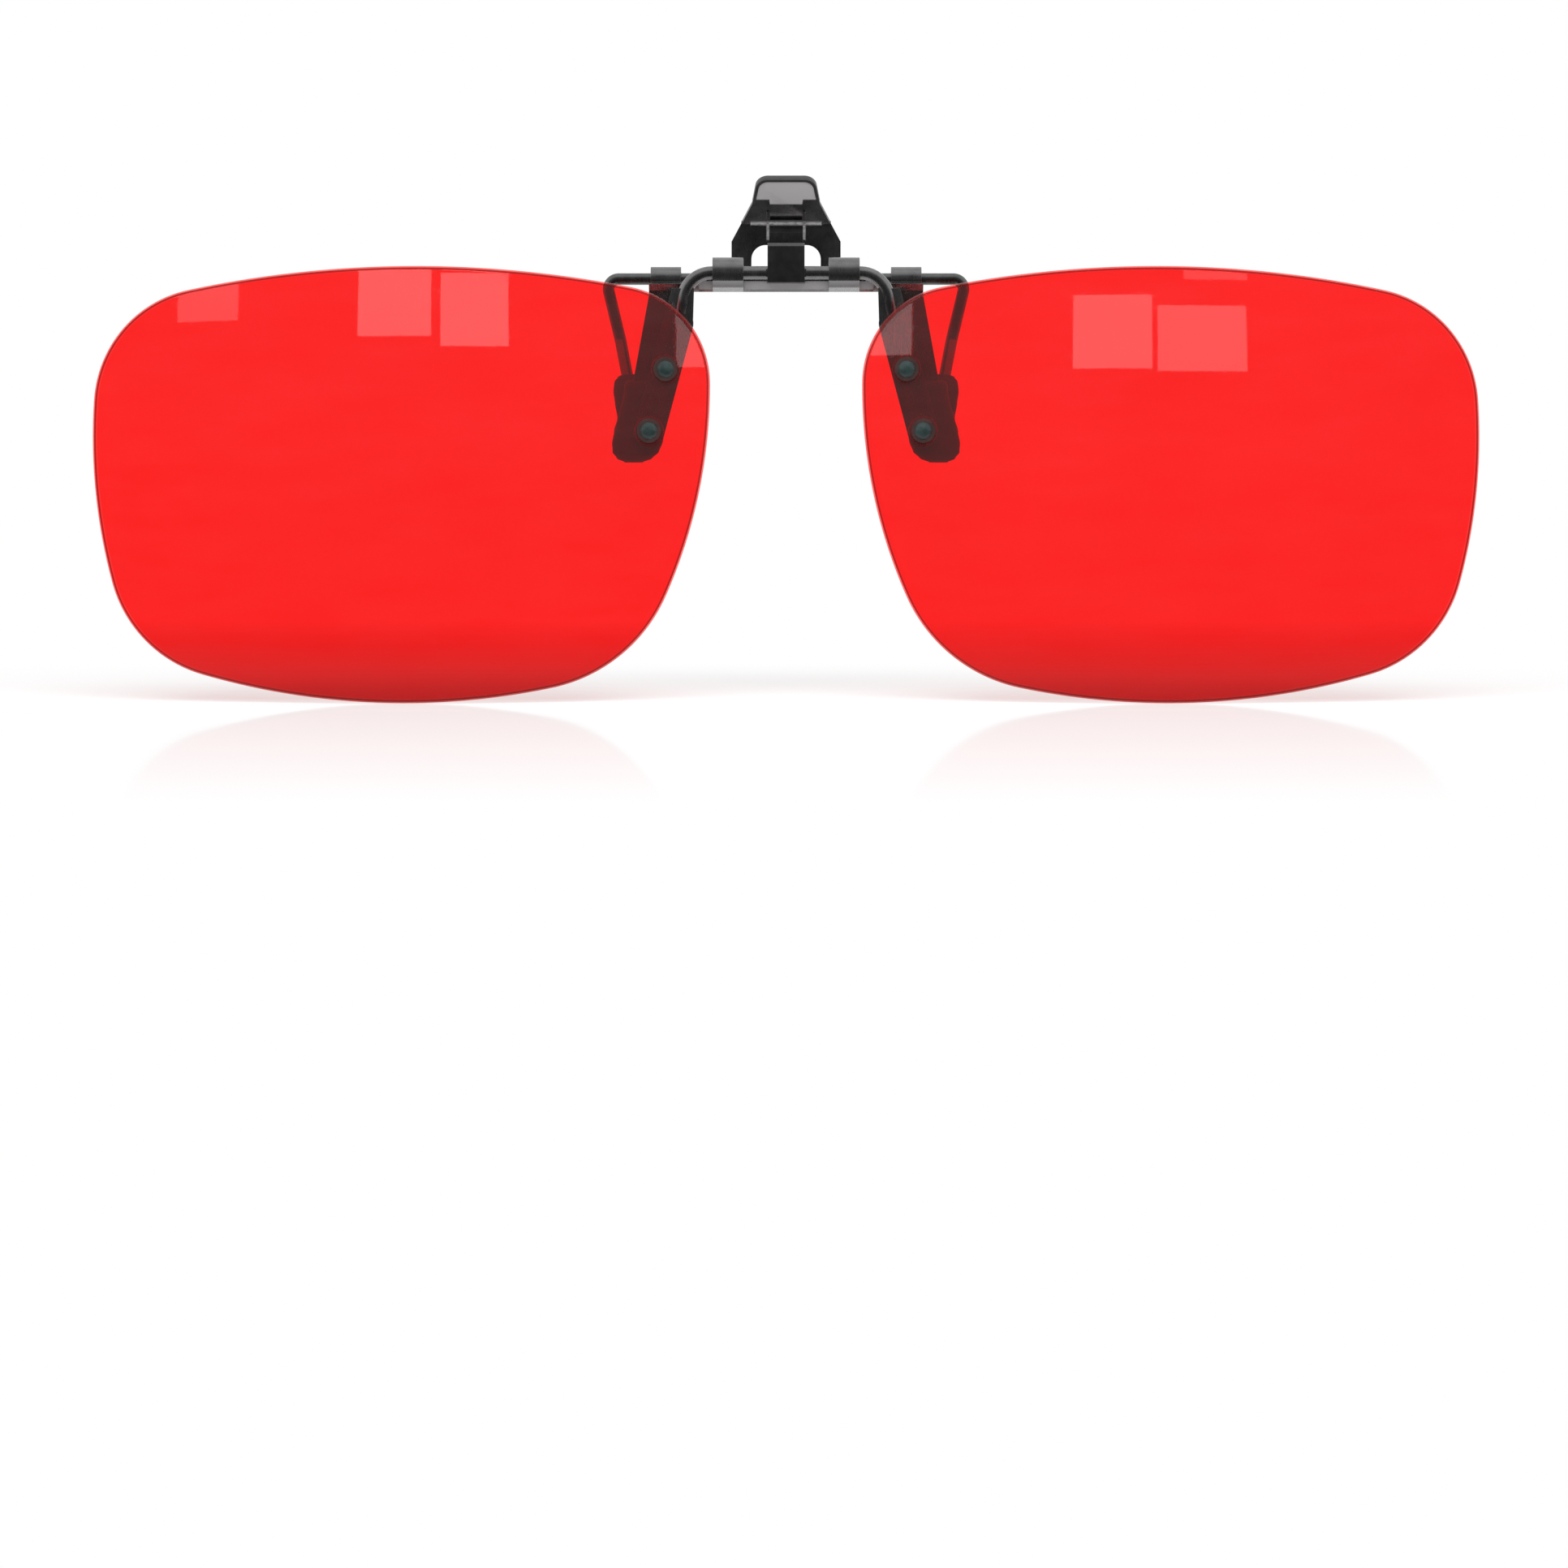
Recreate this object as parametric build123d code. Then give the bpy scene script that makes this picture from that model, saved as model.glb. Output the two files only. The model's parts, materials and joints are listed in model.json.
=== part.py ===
"""Flip-up clip-on sunglasses: two tinted lenses on a flip bridge, carried by a spring clamp.

The frame: +X to the right as seen from the front, +Y towards the wearer, +Z up.
Y = 0 is the middle of the whole depth, X = 0 the mirror plane, Z = 0 the lowest point of the lenses.
All sizes are in millimetres. Every sub-part is modelled at its place in the whole.
"""
import os
from math import atan2, cos, degrees, hypot, radians, sin, sqrt, tan

from build123d import *

# Lenses
LENS_CORNERS = ((8.0, 38.7), (65.9, 38.05), (63.35, 4.95), (15.5, 3.35))
LENS_SAGITTAS = (4.0, 2.55, 4.1, 3.35)
LENS_CORNER_RADII = (9.5, 11.7, 12.5, 15.5)
LENS_CENTRE_X = 37.4
LENS_CENTRE_Z = 21.3
LENS_THICKNESS = 1.1
LENS_BACK_RADIUS = 160.0
LENS_HOLES = ((11.7, 32.4), (13.3, 26.45))
LENS_HOLE_RADIUS = 1.06
LENS_BLANK_MARGIN = 1.0

# Lens hardware
RIVET_RADIUS = 0.55
RIVET_CLEARANCE = 0.03
RIVET_FRONT_HEAD_RADIUS = 0.85
RIVET_FRONT_HEAD_HEIGHT = 0.45
RIVET_BACK_HEAD_RADIUS = 0.9
RIVET_BACK_HEAD_HEIGHT = 0.25
SPACER_RADIUS = 1.4
SPACER_LENGTH = 1.7
SLEEVE_RADIUS = 1.0
WASHER_RADIUS = 1.2
WASHER_HEIGHT = 0.35
DOME_SHARE = 0.7

# Flip bridge, measured from the plane of the front legs
FLIP_AXIS_FORWARD = 2.9
FLIP_AXIS_Z = 41.7
BRIDGE_ROD_RADIUS = 0.65
BRIDGE_CORNER_X = 9.55
BRIDGE_BEND_RADIUS = 2.8
BRIDGE_ROD_END_Z = 37.8
ARM_THICKNESS = 0.9
ARM_WIDTH = 3.0
ARM_END_BEYOND_RIVET = 0.25
ARM_FULL_WIDTH_Z = 36.8
ARM_TOP_Z = 40.2
ARM_TOP_INNER_X = 8.95
ARM_TOP_OUTER_X = 11.1
DETENT_FLAT_DEPTH = 0.12
DETENT_HALF_LENGTH = 1.95
FLIP_TRAVEL = 130.0

# Clamp frame stamping
SHEET = 0.8
PLATE_TOP_Z = 40.65
PLATE_NOSE_HALF = 8.5
PLATE_NOSE_FORWARD = 2.0
PLATE_SHOULDER_FORWARD = 0.9
PLATE_EDGE_SLANT = 0.6
PLATE_LIP_Z = 40.9
PLATE_LIP_WIDTH = 0.5
PLATE_LIP_GAP = 0.06
PLATE_HALF = 13.4
PLATE_BACK = 5.6
SIDE_ARM_WIDTH = 3.0
KNUCKLE_INNER_X = 4.15
KNUCKLE_OUTER_X = 7.15
KNUCKLE_RADIUS = 1.5
KNUCKLE_WEB = 0.55
RUNNING_CLEARANCE = 0.05
LEG_WIDTH = 3.0
LEG_TOP_X = 11.9
LEG_SLOPE = 0.1855
LEG_BOTTOM_Z = 24.2
LEG_TOP_Z = 39.5

# Detent leaf on the base plate
LEAF_HALF_WIDTH = 1.8
LEAF_THICKNESS = 0.3
LEAF_TOP_Z = 44.6
LEAF_LIP = 0.3
LEAF_FOOT_BACK = 4.6
LEAF_GAP = 0.02
LEAF_RIVET_BACK = 3.2
LEAF_RIVET_X = 1.05
LEAF_RIVET_RADIUS = 0.4
LEAF_RIVET_HEAD_RADIUS = 0.75
LEAF_RIVET_HEAD_HEIGHT = 0.3
LEAF_RIVET_PEEN_RADIUS = 0.6
LEAF_RIVET_PEEN_DEPTH = 0.25

# Rear wire and its lugs
WIRE_BACK = 8.2
WIRE_Z = 41.1
WIRE_RADIUS = 0.58
WIRE_BEND_RADIUS = 1.0
WIRE_CORNER_X = 17.85
WIRE_KNEE = (16.4, 35.0)
WIRE_ANKLE = (15.3, 29.8)
WIRE_TOE = (14.75, 24.6)
LUG_RADIUS = 1.2
LUG_FOOT = 0.6
BUSH_RADIUS = 0.8

# Rubber boots
BOOT_BOTTOM_Z = 23.2
FRONT_BOOT_TOP_Z = 31.2
FRONT_BOOT_HALF_THICKNESS = 1.05
FRONT_BOOT_TOP_HALF = 2.2
FRONT_BOOT_BOTTOM_HALF = 2.5
JAW_GAP = 2.2
REAR_BOOT_HALF_THICKNESS = 1.15
REAR_BOOT_HALF = 2.25
REAR_BOOT_UP_THE_WIRE = 2.7
BOOT_FOOT_ROUND = 0.8
FRONT_BOOT_RIM_RADIUS = 0.5
REAR_BOOT_TOP_HALF = 1.6

# Thumb lever
LEVER_HALF = 5.4
LEVER_SHOULDER_Z = 44.8
LEVER_NECK_HALF = 3.35
LEVER_NECK_Z = 48.6
LEVER_BEND_Z = 46.6
LEVER_LEAN = 37.0
LEVER_TOP_Z = 51.0
LEVER_TOP_HALF = 2.85
LEVER_TOP_RADIUS = 1.25
LEVER_BARREL_RADIUS = 1.15
ARCH_HALF = 3.43
ARCH_TOP_Z = 44.45
ARCH_RADIUS = 1.4
SLOT_HALF = 1.6
SLOT_HEIGHT = 0.6
SLOT_FROM_BEND = 0.6
SLOT_DEPTH = 0.3
RIB_X = 1.8
RIB_RADIUS = 0.16
RIB_LENGTH = 1.7
BEAD_HALF = 3.5
BEAD_RADIUS = 0.2
LEVER_SHEET = 0.5
CAP_WALL = 0.2
CAP_BACK = 0.2
CAP_LIP = 0.05
CAP_OVERLAP = 0.08

# Torsion springs
SPRING_WIRE_RADIUS = 0.21
SPRING_MEAN_RADIUS = 0.86
SPRING_INNER_X = 5.75
SPRING_TURNS = 5
SPRING_PITCH = 0.46
SPRING_LIFT_Z = 43.0
SPRING_REST_BACK = 3.4
SPRING_GAP = 0.03
SPRING_CORNER_RADIUS = 0.23
SPRING_HOOK = 0.5


def sagitta(radius, reach):
    """Depth of a spherical surface at a distance from its axis."""
    return radius - sqrt(radius * radius - reach * reach)


# Places along Y that follow from the driving dimensions, from the plane of the front legs
arm_front = -FLIP_AXIS_FORWARD - ARM_THICKNESS / 2
rivet_mean_x = (LENS_HOLES[0][0] + LENS_HOLES[1][0]) / 2
rivet_mean_z = (LENS_HOLES[0][1] + LENS_HOLES[1][1]) / 2
rivet_reach = hypot(rivet_mean_x - LENS_CENTRE_X, rivet_mean_z - LENS_CENTRE_Z)
lens_back_apex = arm_front - SPACER_LENGTH - sagitta(LENS_BACK_RADIUS, rivet_reach)
foremost = lens_back_apex - LENS_THICKNESS
rearmost = WIRE_BACK + LUG_RADIUS

# The legs' plane, the flip axis and the clamp axis in the part's own frame
LEG_Y = -(foremost + rearmost) / 2
FLIP_Y = LEG_Y - FLIP_AXIS_FORWARD
WIRE_Y = LEG_Y + WIRE_BACK
ARM_FRONT_Y = FLIP_Y - ARM_THICKNESS / 2
ARM_BACK_Y = FLIP_Y + ARM_THICKNESS / 2
LENS_CURVE_Y = LEG_Y + lens_back_apex + LENS_BACK_RADIUS
TOE_Y = LEG_Y + FRONT_BOOT_HALF_THICKNESS + JAW_GAP + REAR_BOOT_HALF_THICKNESS
PLATE_BOTTOM_Z = PLATE_TOP_Z - SHEET


def slab(sketch, front, back):
    """A sketch drawn in X and Z, made solid between two places along Y."""
    return extrude(Plane.XZ.offset(-back) * sketch, amount=back - front)


def bar_x(sketch, left, right):
    """A sketch drawn in Y and Z, made solid between two places along X."""
    return extrude(Plane.YZ.offset(left) * sketch, amount=right - left)


def rod_x(radius, left, right, y, z):
    """A round bar along X."""
    return bar_x(Pos(y, z) * Circle(radius), left, right)


def rod_y(radius, x, z, front, back):
    """A round bar along Y."""
    return slab(Pos(x, z) * Circle(radius), front, back)


def rod_z(radius, x, y, low, high):
    """A round bar along Z."""
    return extrude(Plane.XY.offset(low) * Pos(x, y) * Circle(radius), amount=high - low)


def polygon(points):
    """A flat face with straight sides."""
    return make_face(Polyline(*points, close=True))


def mirrored(solid):
    """The same solid on the other side of the mirror plane."""
    return mirror(solid, about=Plane.YZ)


def leg_x(z):
    """Middle of the right front leg at a height."""
    return LEG_TOP_X + LEG_SLOPE * (LEG_TOP_Z - z)


# ---------------------------------------------------------------- lenses

def lens_outline():
    """Four shallow arcs joined by round corners, lowest point at Z = 0."""
    arcs = []
    for index, sag in enumerate(LENS_SAGITTAS):
        start = LENS_CORNERS[index]
        end = LENS_CORNERS[(index + 1) % len(LENS_CORNERS)]
        arcs.append(SagittaArc(start, end, sag))
    outline = make_face(arcs)
    for corner, radius in zip(LENS_CORNERS, LENS_CORNER_RADII):
        vertex = outline.vertices().sort_by_distance(Vector(*corner))[0]
        outline = fillet(vertex, radius)
    return Pos(0, -outline.bounding_box().min.Y) * outline


def lens_ball(radius):
    """A ball about the lens's centre of curvature."""
    return Pos(LENS_CENTRE_X, LENS_CURVE_Y, LENS_CENTRE_Z) * Sphere(radius)


def lens():
    """A spherical shell cut to the outline, with two holes for its rivets."""
    blank = slab(lens_outline(), LEG_Y + foremost - LENS_BLANK_MARGIN, LEG_Y)
    shell = blank & lens_ball(LENS_BACK_RADIUS + LENS_THICKNESS)
    shell -= lens_ball(LENS_BACK_RADIUS)
    for x, z in LENS_HOLES:
        shell -= rod_y(LENS_HOLE_RADIUS, x, z, LEG_Y + foremost - LENS_BLANK_MARGIN, LEG_Y)
    return shell


def lens_front_y(x, z):
    """The front surface of the right lens, on its own sphere."""
    reach = hypot(x - LENS_CENTRE_X, z - LENS_CENTRE_Z)
    radius = LENS_BACK_RADIUS + LENS_THICKNESS
    return LENS_CURVE_Y - sqrt(radius * radius - reach * reach)


def lens_bushings():
    """Clear spacers behind the lens, each with a sleeve that fills the lens hole."""
    group = []
    for x, z in LENS_HOLES:
        front = lens_front_y(x, z) - LENS_BLANK_MARGIN
        spacer = rod_y(SPACER_RADIUS, x, z, front, ARM_FRONT_Y) & lens_ball(LENS_BACK_RADIUS)
        sleeve = rod_y(SLEEVE_RADIUS, x, z, front, ARM_FRONT_Y)
        sleeve &= lens_ball(LENS_BACK_RADIUS + LENS_THICKNESS)
        bore = rod_y(RIVET_RADIUS + RIVET_CLEARANCE, x, z, front, ARM_FRONT_Y)
        group.append(spacer + sleeve - bore)
    return group


def lens_washers():
    """Round washers in front of the lens, with backs that follow its surface."""
    group = []
    for x, z in LENS_HOLES:
        front = lens_front_y(x, z) - WASHER_HEIGHT
        ring = rod_y(WASHER_RADIUS, x, z, front, front + 2 * WASHER_HEIGHT)
        ring -= lens_ball(LENS_BACK_RADIUS + LENS_THICKNESS)
        ring -= rod_y(RIVET_RADIUS + RIVET_CLEARANCE, x, z, front, front + 2 * WASHER_HEIGHT)
        group.append(ring)
    return group


def lens_rivets():
    """Rivets through washer, lens, bushing and arm, peened behind the arm."""
    group = []
    for x, z in LENS_HOLES:
        front = lens_front_y(x, z) - WASHER_HEIGHT
        head = rod_y(RIVET_FRONT_HEAD_RADIUS, x, z, front - RIVET_FRONT_HEAD_HEIGHT, front)
        rim = head.edges().filter_by(GeomType.CIRCLE).sort_by(Axis.Y)[0]
        head = fillet(rim, RIVET_FRONT_HEAD_HEIGHT * DOME_SHARE)
        peen = rod_y(RIVET_BACK_HEAD_RADIUS, x, z, ARM_BACK_Y, ARM_BACK_Y + RIVET_BACK_HEAD_HEIGHT)
        shank = rod_y(RIVET_RADIUS, x, z, front, ARM_BACK_Y)
        group.append(head + shank + peen)
    return group


# ---------------------------------------------------------------- flip bridge

def arm_middle_x(z):
    """Middle line of the right arm: the line through its two rivets."""
    (upper_x, upper_z), (lower_x, lower_z) = LENS_HOLES
    return upper_x + (lower_x - upper_x) * (z - upper_z) / (lower_z - upper_z)


def arm():
    """A flat strap behind one end of the rod, straight to its second rivet and round-ended."""
    end_z = LENS_HOLES[1][1] - ARM_END_BEYOND_RIVET
    end = (arm_middle_x(end_z), end_z)
    top = (arm_middle_x(ARM_FULL_WIDTH_Z), ARM_FULL_WIDTH_Z)
    slope = atan2(end[1] - top[1], end[0] - top[0])
    length = hypot(end[0] - top[0], end[1] - top[1])
    across = (-sin(slope) * ARM_WIDTH / 2, cos(slope) * ARM_WIDTH / 2)
    strap = Pos(length / 2, 0) * SlotCenterToCenter(length, ARM_WIDTH)
    strap = Pos(*top) * Rot(0, 0, degrees(slope)) * strap
    shoulder = polygon([
        (top[0] - across[0], top[1] - across[1]),
        (top[0] + across[0], top[1] + across[1]),
        (ARM_TOP_OUTER_X, ARM_TOP_Z),
        (ARM_TOP_INNER_X, ARM_TOP_Z),
    ])
    solid = slab(strap + shoulder, ARM_FRONT_Y, ARM_BACK_Y)
    for x, z in LENS_HOLES:
        solid -= rod_y(RIVET_RADIUS, x, z, ARM_FRONT_Y, ARM_BACK_Y)
    return solid


def lens_bridge():
    """A bent rod that turns in the knuckles, with an arm down behind each lens."""
    end_x = arm_middle_x(BRIDGE_ROD_END_Z)
    path = FilletPolyline(
        (-end_x, FLIP_Y, BRIDGE_ROD_END_Z),
        (-BRIDGE_CORNER_X, FLIP_Y, FLIP_AXIS_Z),
        (BRIDGE_CORNER_X, FLIP_Y, FLIP_AXIS_Z),
        (end_x, FLIP_Y, BRIDGE_ROD_END_Z),
        radius=BRIDGE_BEND_RADIUS,
    )
    rod = sweep(Plane(path @ 0, z_dir=path % 0) * Circle(BRIDGE_ROD_RADIUS), path=path)
    flat = Pos(0, -BRIDGE_ROD_RADIUS) * Rectangle(
        2 * DETENT_HALF_LENGTH, 2 * DETENT_FLAT_DEPTH)
    for angle in (0.0, FLIP_TRAVEL):
        cutter = extrude(flat, amount=BRIDGE_ROD_RADIUS, both=True)
        rod -= Pos(0, FLIP_Y, FLIP_AXIS_Z) * Rot(angle, 0, 0) * cutter
    right = arm()
    return rod + right + mirrored(right)


# ---------------------------------------------------------------- clamp frame

def front_edge(forward, left, right):
    """A strip whose front edge is coined back towards its underside."""
    front = LEG_Y - forward
    profile = polygon([
        (front, PLATE_TOP_Z),
        (front + PLATE_EDGE_SLANT, PLATE_BOTTOM_Z),
        (LEG_Y, PLATE_BOTTOM_Z),
        (LEG_Y, PLATE_TOP_Z),
    ])
    return bar_x(profile, left, right)


def plate_lip():
    """The upturned edge of the nose: on the same slant, beside the leaf and below the rod."""
    front = LEG_Y - PLATE_NOSE_FORWARD
    overhang = PLATE_EDGE_SLANT * (PLATE_LIP_Z - PLATE_TOP_Z) / SHEET
    profile = polygon([
        (front - overhang, PLATE_LIP_Z),
        (front, PLATE_TOP_Z),
        (front + PLATE_LIP_WIDTH, PLATE_TOP_Z),
        (front + PLATE_LIP_WIDTH, PLATE_LIP_Z),
    ])
    return bar_x(profile, LEAF_HALF_WIDTH + PLATE_LIP_GAP, PLATE_NOSE_HALF)


def base_plate():
    """A flat plate with a nose towards the lenses and two arms back to the lugs."""
    arm_inner = PLATE_HALF - SIDE_ARM_WIDTH
    half = [
        (0, LEG_Y),
        (PLATE_HALF, LEG_Y),
        (PLATE_HALF, WIRE_Y),
        (arm_inner, WIRE_Y),
        (arm_inner, LEG_Y + PLATE_BACK),
        (0, LEG_Y + PLATE_BACK),
    ]
    right = extrude(Plane.XY.offset(PLATE_BOTTOM_Z) * polygon(half), amount=SHEET)
    right += front_edge(PLATE_NOSE_FORWARD, 0, PLATE_NOSE_HALF)
    right += front_edge(PLATE_SHOULDER_FORWARD, PLATE_NOSE_HALF, PLATE_HALF)
    right += plate_lip()
    return right + mirrored(right)


def front_leg():
    """A flat strip from the plate down into its boot, splayed outwards."""
    half = LEG_WIDTH / 2
    low = LEG_BOTTOM_Z
    outline = polygon([
        (PLATE_HALF, PLATE_TOP_Z),
        (PLATE_HALF - 2 * half, PLATE_TOP_Z),
        (leg_x(LEG_TOP_Z) - half, LEG_TOP_Z),
        (leg_x(low) - half, low),
        (leg_x(low) + half, low),
        (leg_x(LEG_TOP_Z) + half, LEG_TOP_Z),
    ])
    return slab(outline, LEG_Y - SHEET / 2, LEG_Y + SHEET / 2)


def knuckle():
    """A barrel rolled from the plate's nose round the bridge rod."""
    barrel = rod_x(KNUCKLE_RADIUS, KNUCKLE_INNER_X, KNUCKLE_OUTER_X, FLIP_Y, FLIP_AXIS_Z)
    web = polygon([
        (FLIP_Y, FLIP_AXIS_Z - KNUCKLE_RADIUS),
        (LEG_Y - PLATE_NOSE_FORWARD + PLATE_EDGE_SLANT, PLATE_BOTTOM_Z),
        (LEG_Y - PLATE_NOSE_FORWARD + PLATE_EDGE_SLANT, PLATE_TOP_Z),
        (FLIP_Y + KNUCKLE_RADIUS - KNUCKLE_WEB, FLIP_AXIS_Z + KNUCKLE_WEB),
        (FLIP_Y, FLIP_AXIS_Z),
    ])
    return barrel + bar_x(web, KNUCKLE_INNER_X, KNUCKLE_OUTER_X)


def lug():
    """A barrel rolled from the side arm round the rear wire."""
    inner = PLATE_HALF - SIDE_ARM_WIDTH
    barrel = rod_x(LUG_RADIUS, inner, PLATE_HALF, WIRE_Y, WIRE_Z)
    foot = polygon([
        (WIRE_Y - LUG_RADIUS - LUG_FOOT, PLATE_BOTTOM_Z),
        (WIRE_Y, PLATE_BOTTOM_Z),
        (WIRE_Y, WIRE_Z),
        (WIRE_Y - LUG_RADIUS - LUG_FOOT, PLATE_TOP_Z),
    ])
    return barrel + bar_x(foot, inner, PLATE_HALF)


def clamp_frame():
    """The whole stamping: plate, legs, knuckles and lugs, with the bores for rod, bushes and rivets."""
    right = front_leg() + knuckle() + lug()
    frame = base_plate() + right + mirrored(right)
    bore = BRIDGE_ROD_RADIUS + RUNNING_CLEARANCE
    frame -= rod_x(bore, -PLATE_HALF, PLATE_HALF, FLIP_Y, FLIP_AXIS_Z)
    frame -= rod_x(BUSH_RADIUS, -PLATE_HALF, PLATE_HALF, WIRE_Y, WIRE_Z)
    for side in (-1, 1):
        frame -= leaf_rivet_shank(side, PLATE_TOP_Z)
    return frame


def lug_bushes():
    """Nylon sleeves in the lugs, one each side."""
    inner = PLATE_HALF - SIDE_ARM_WIDTH
    right = rod_x(BUSH_RADIUS, inner, PLATE_HALF, WIRE_Y, WIRE_Z)
    right -= rod_x(WIRE_RADIUS + RUNNING_CLEARANCE, inner, PLATE_HALF, WIRE_Y, WIRE_Z)
    return [right, mirrored(right)]


def detent_leaf():
    """A spring-steel strip: a foot on the plate, a face in front of the rod and a lip leaning back."""
    face_back = FLIP_Y - BRIDGE_ROD_RADIUS - LEAF_GAP
    outer = (face_back - LEAF_THICKNESS, PLATE_TOP_Z)
    foot_back = LEG_Y + LEAF_FOOT_BACK
    profile = polygon([
        outer,
        (foot_back, PLATE_TOP_Z),
        (foot_back, PLATE_TOP_Z + LEAF_THICKNESS),
        (face_back, PLATE_TOP_Z + LEAF_THICKNESS),
        (face_back, LEAF_TOP_Z - LEAF_LIP),
        (face_back + LEAF_LIP, LEAF_TOP_Z),
        (face_back + LEAF_LIP - LEAF_THICKNESS, LEAF_TOP_Z),
        (face_back - LEAF_THICKNESS, LEAF_TOP_Z - LEAF_LIP),
    ])
    corner = profile.vertices().sort_by_distance(Vector(*outer))[0]
    profile = fillet(corner, LEAF_THICKNESS)
    leaf = bar_x(profile, -LEAF_HALF_WIDTH, LEAF_HALF_WIDTH)
    for side in (-1, 1):
        leaf -= leaf_rivet_shank(side, PLATE_TOP_Z + LEAF_THICKNESS)
    return leaf


def leaf_rivet_shank(side, top):
    """The shank of one leaf rivet, with a flush countersunk end under the plate."""
    x, y = side * LEAF_RIVET_X, LEG_Y + LEAF_RIVET_BACK
    peen = Cone(
        LEAF_RIVET_PEEN_RADIUS, LEAF_RIVET_RADIUS, LEAF_RIVET_PEEN_DEPTH,
        align=(Align.CENTER, Align.CENTER, Align.MIN))
    return rod_z(LEAF_RIVET_RADIUS, x, y, PLATE_BOTTOM_Z, top) + Pos(x, y, PLATE_BOTTOM_Z) * peen


def leaf_rivets():
    """Two rivets that hold the leaf's foot to the plate."""
    y = LEG_Y + LEAF_RIVET_BACK
    top = PLATE_TOP_Z + LEAF_THICKNESS
    group = []
    for side in (-1, 1):
        head = rod_z(LEAF_RIVET_HEAD_RADIUS, side * LEAF_RIVET_X, y, top, top + LEAF_RIVET_HEAD_HEIGHT)
        head = fillet(head.edges().sort_by(Axis.Z)[-1], LEAF_RIVET_HEAD_HEIGHT * DOME_SHARE)
        group.append(leaf_rivet_shank(side, top) + head)
    return group


# ---------------------------------------------------------------- rear wire and boots

def rear_wire():
    """One bent wire: across through the lugs, down each side, forward to each toe."""
    right = [
        (WIRE_CORNER_X, WIRE_Y, WIRE_Z),
        (WIRE_KNEE[0], WIRE_Y, WIRE_KNEE[1]),
        (WIRE_ANKLE[0], TOE_Y, WIRE_ANKLE[1]),
        (WIRE_TOE[0], TOE_Y, WIRE_TOE[1]),
    ]
    left = [(-x, y, z) for x, y, z in reversed(right)]
    path = FilletPolyline(*left, *right, radius=WIRE_BEND_RADIUS)
    return sweep(Plane(path @ 0, z_dir=path % 0) * Circle(WIRE_RADIUS), path=path)


def front_boot():
    """A rubber sleeve over the foot of a front leg, with a flat pad on its back."""
    low, high = BOOT_BOTTOM_Z, FRONT_BOOT_TOP_Z
    outline = polygon([
        (leg_x(high) - FRONT_BOOT_TOP_HALF, high),
        (leg_x(low) - FRONT_BOOT_BOTTOM_HALF, low),
        (leg_x(low) + FRONT_BOOT_BOTTOM_HALF, low),
        (leg_x(high) + FRONT_BOOT_TOP_HALF, high),
    ])
    foot = outline.vertices().sort_by(Axis.Y)[:2]
    outline = fillet(foot, FRONT_BOOT_BOTTOM_HALF * BOOT_FOOT_ROUND)
    half = FRONT_BOOT_HALF_THICKNESS
    boot = slab(outline, LEG_Y - half, LEG_Y + half)
    front_rim = boot.faces().sort_by(Axis.Y)[0].edges()
    boot = fillet(front_rim, FRONT_BOOT_RIM_RADIUS)
    return boot - front_leg()


def rear_boot():
    """A rubber sleeve over the toe of the rear wire: a flat pad, then a slope up the wire."""
    half = REAR_BOOT_HALF_THICKNESS
    rise_y = WIRE_Y - TOE_Y
    rise_z = WIRE_KNEE[1] - WIRE_ANKLE[1]
    slant = hypot(rise_y, rise_z)
    along = (rise_y / slant, rise_z / slant)
    mitre = half * tan(atan2(along[0], along[1]) / 2)
    end = (TOE_Y + along[0] * REAR_BOOT_UP_THE_WIRE, WIRE_ANKLE[1] + along[1] * REAR_BOOT_UP_THE_WIRE)
    side = polygon([
        (TOE_Y - half, BOOT_BOTTOM_Z),
        (TOE_Y - half, WIRE_ANKLE[1] + mitre),
        (end[0] - half * along[1], end[1] + half * along[0]),
        (end[0] + half * along[1], end[1] - half * along[0]),
        (TOE_Y + half, WIRE_ANKLE[1] - mitre),
        (TOE_Y + half, BOOT_BOTTOM_Z),
    ])
    bottom_x = leg_x(BOOT_BOTTOM_Z)
    top_z = end[1] + half
    top_x = WIRE_KNEE[0] + (WIRE_ANKLE[0] - WIRE_KNEE[0]) * (WIRE_KNEE[1] - top_z) / rise_z
    outline = polygon([
        (bottom_x - REAR_BOOT_HALF, BOOT_BOTTOM_Z),
        (top_x - REAR_BOOT_TOP_HALF, top_z),
        (top_x + REAR_BOOT_TOP_HALF, top_z),
        (bottom_x + REAR_BOOT_HALF, BOOT_BOTTOM_Z),
    ])
    foot = outline.vertices().sort_by(Axis.Y)[:2]
    outline = fillet(foot, REAR_BOOT_HALF * BOOT_FOOT_ROUND)
    body = bar_x(side, 0, WIRE_CORNER_X + REAR_BOOT_HALF)
    body &= slab(outline, LEG_Y, WIRE_Y)
    return body - rear_wire()


# ---------------------------------------------------------------- thumb lever

def lean_plane():
    """Plane in the middle of the leaning tab: X across, Y up the tab, normal to the front."""
    lean = radians(LEVER_LEAN)
    return Plane(origin=(0, WIRE_Y, LEVER_BEND_Z), x_dir=(1, 0, 0), z_dir=(0, -cos(lean), -sin(lean)))


def up_the_tab(z):
    """Distance along the leaning tab that reaches a height."""
    return (z - LEVER_BEND_Z) / cos(radians(LEVER_LEAN))


def half_width(z):
    """Half width of the lever between its shoulder and its neck."""
    share = (z - LEVER_SHOULDER_Z) / (LEVER_NECK_Z - LEVER_SHOULDER_Z)
    return LEVER_HALF + (LEVER_NECK_HALF - LEVER_HALF) * share


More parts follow.
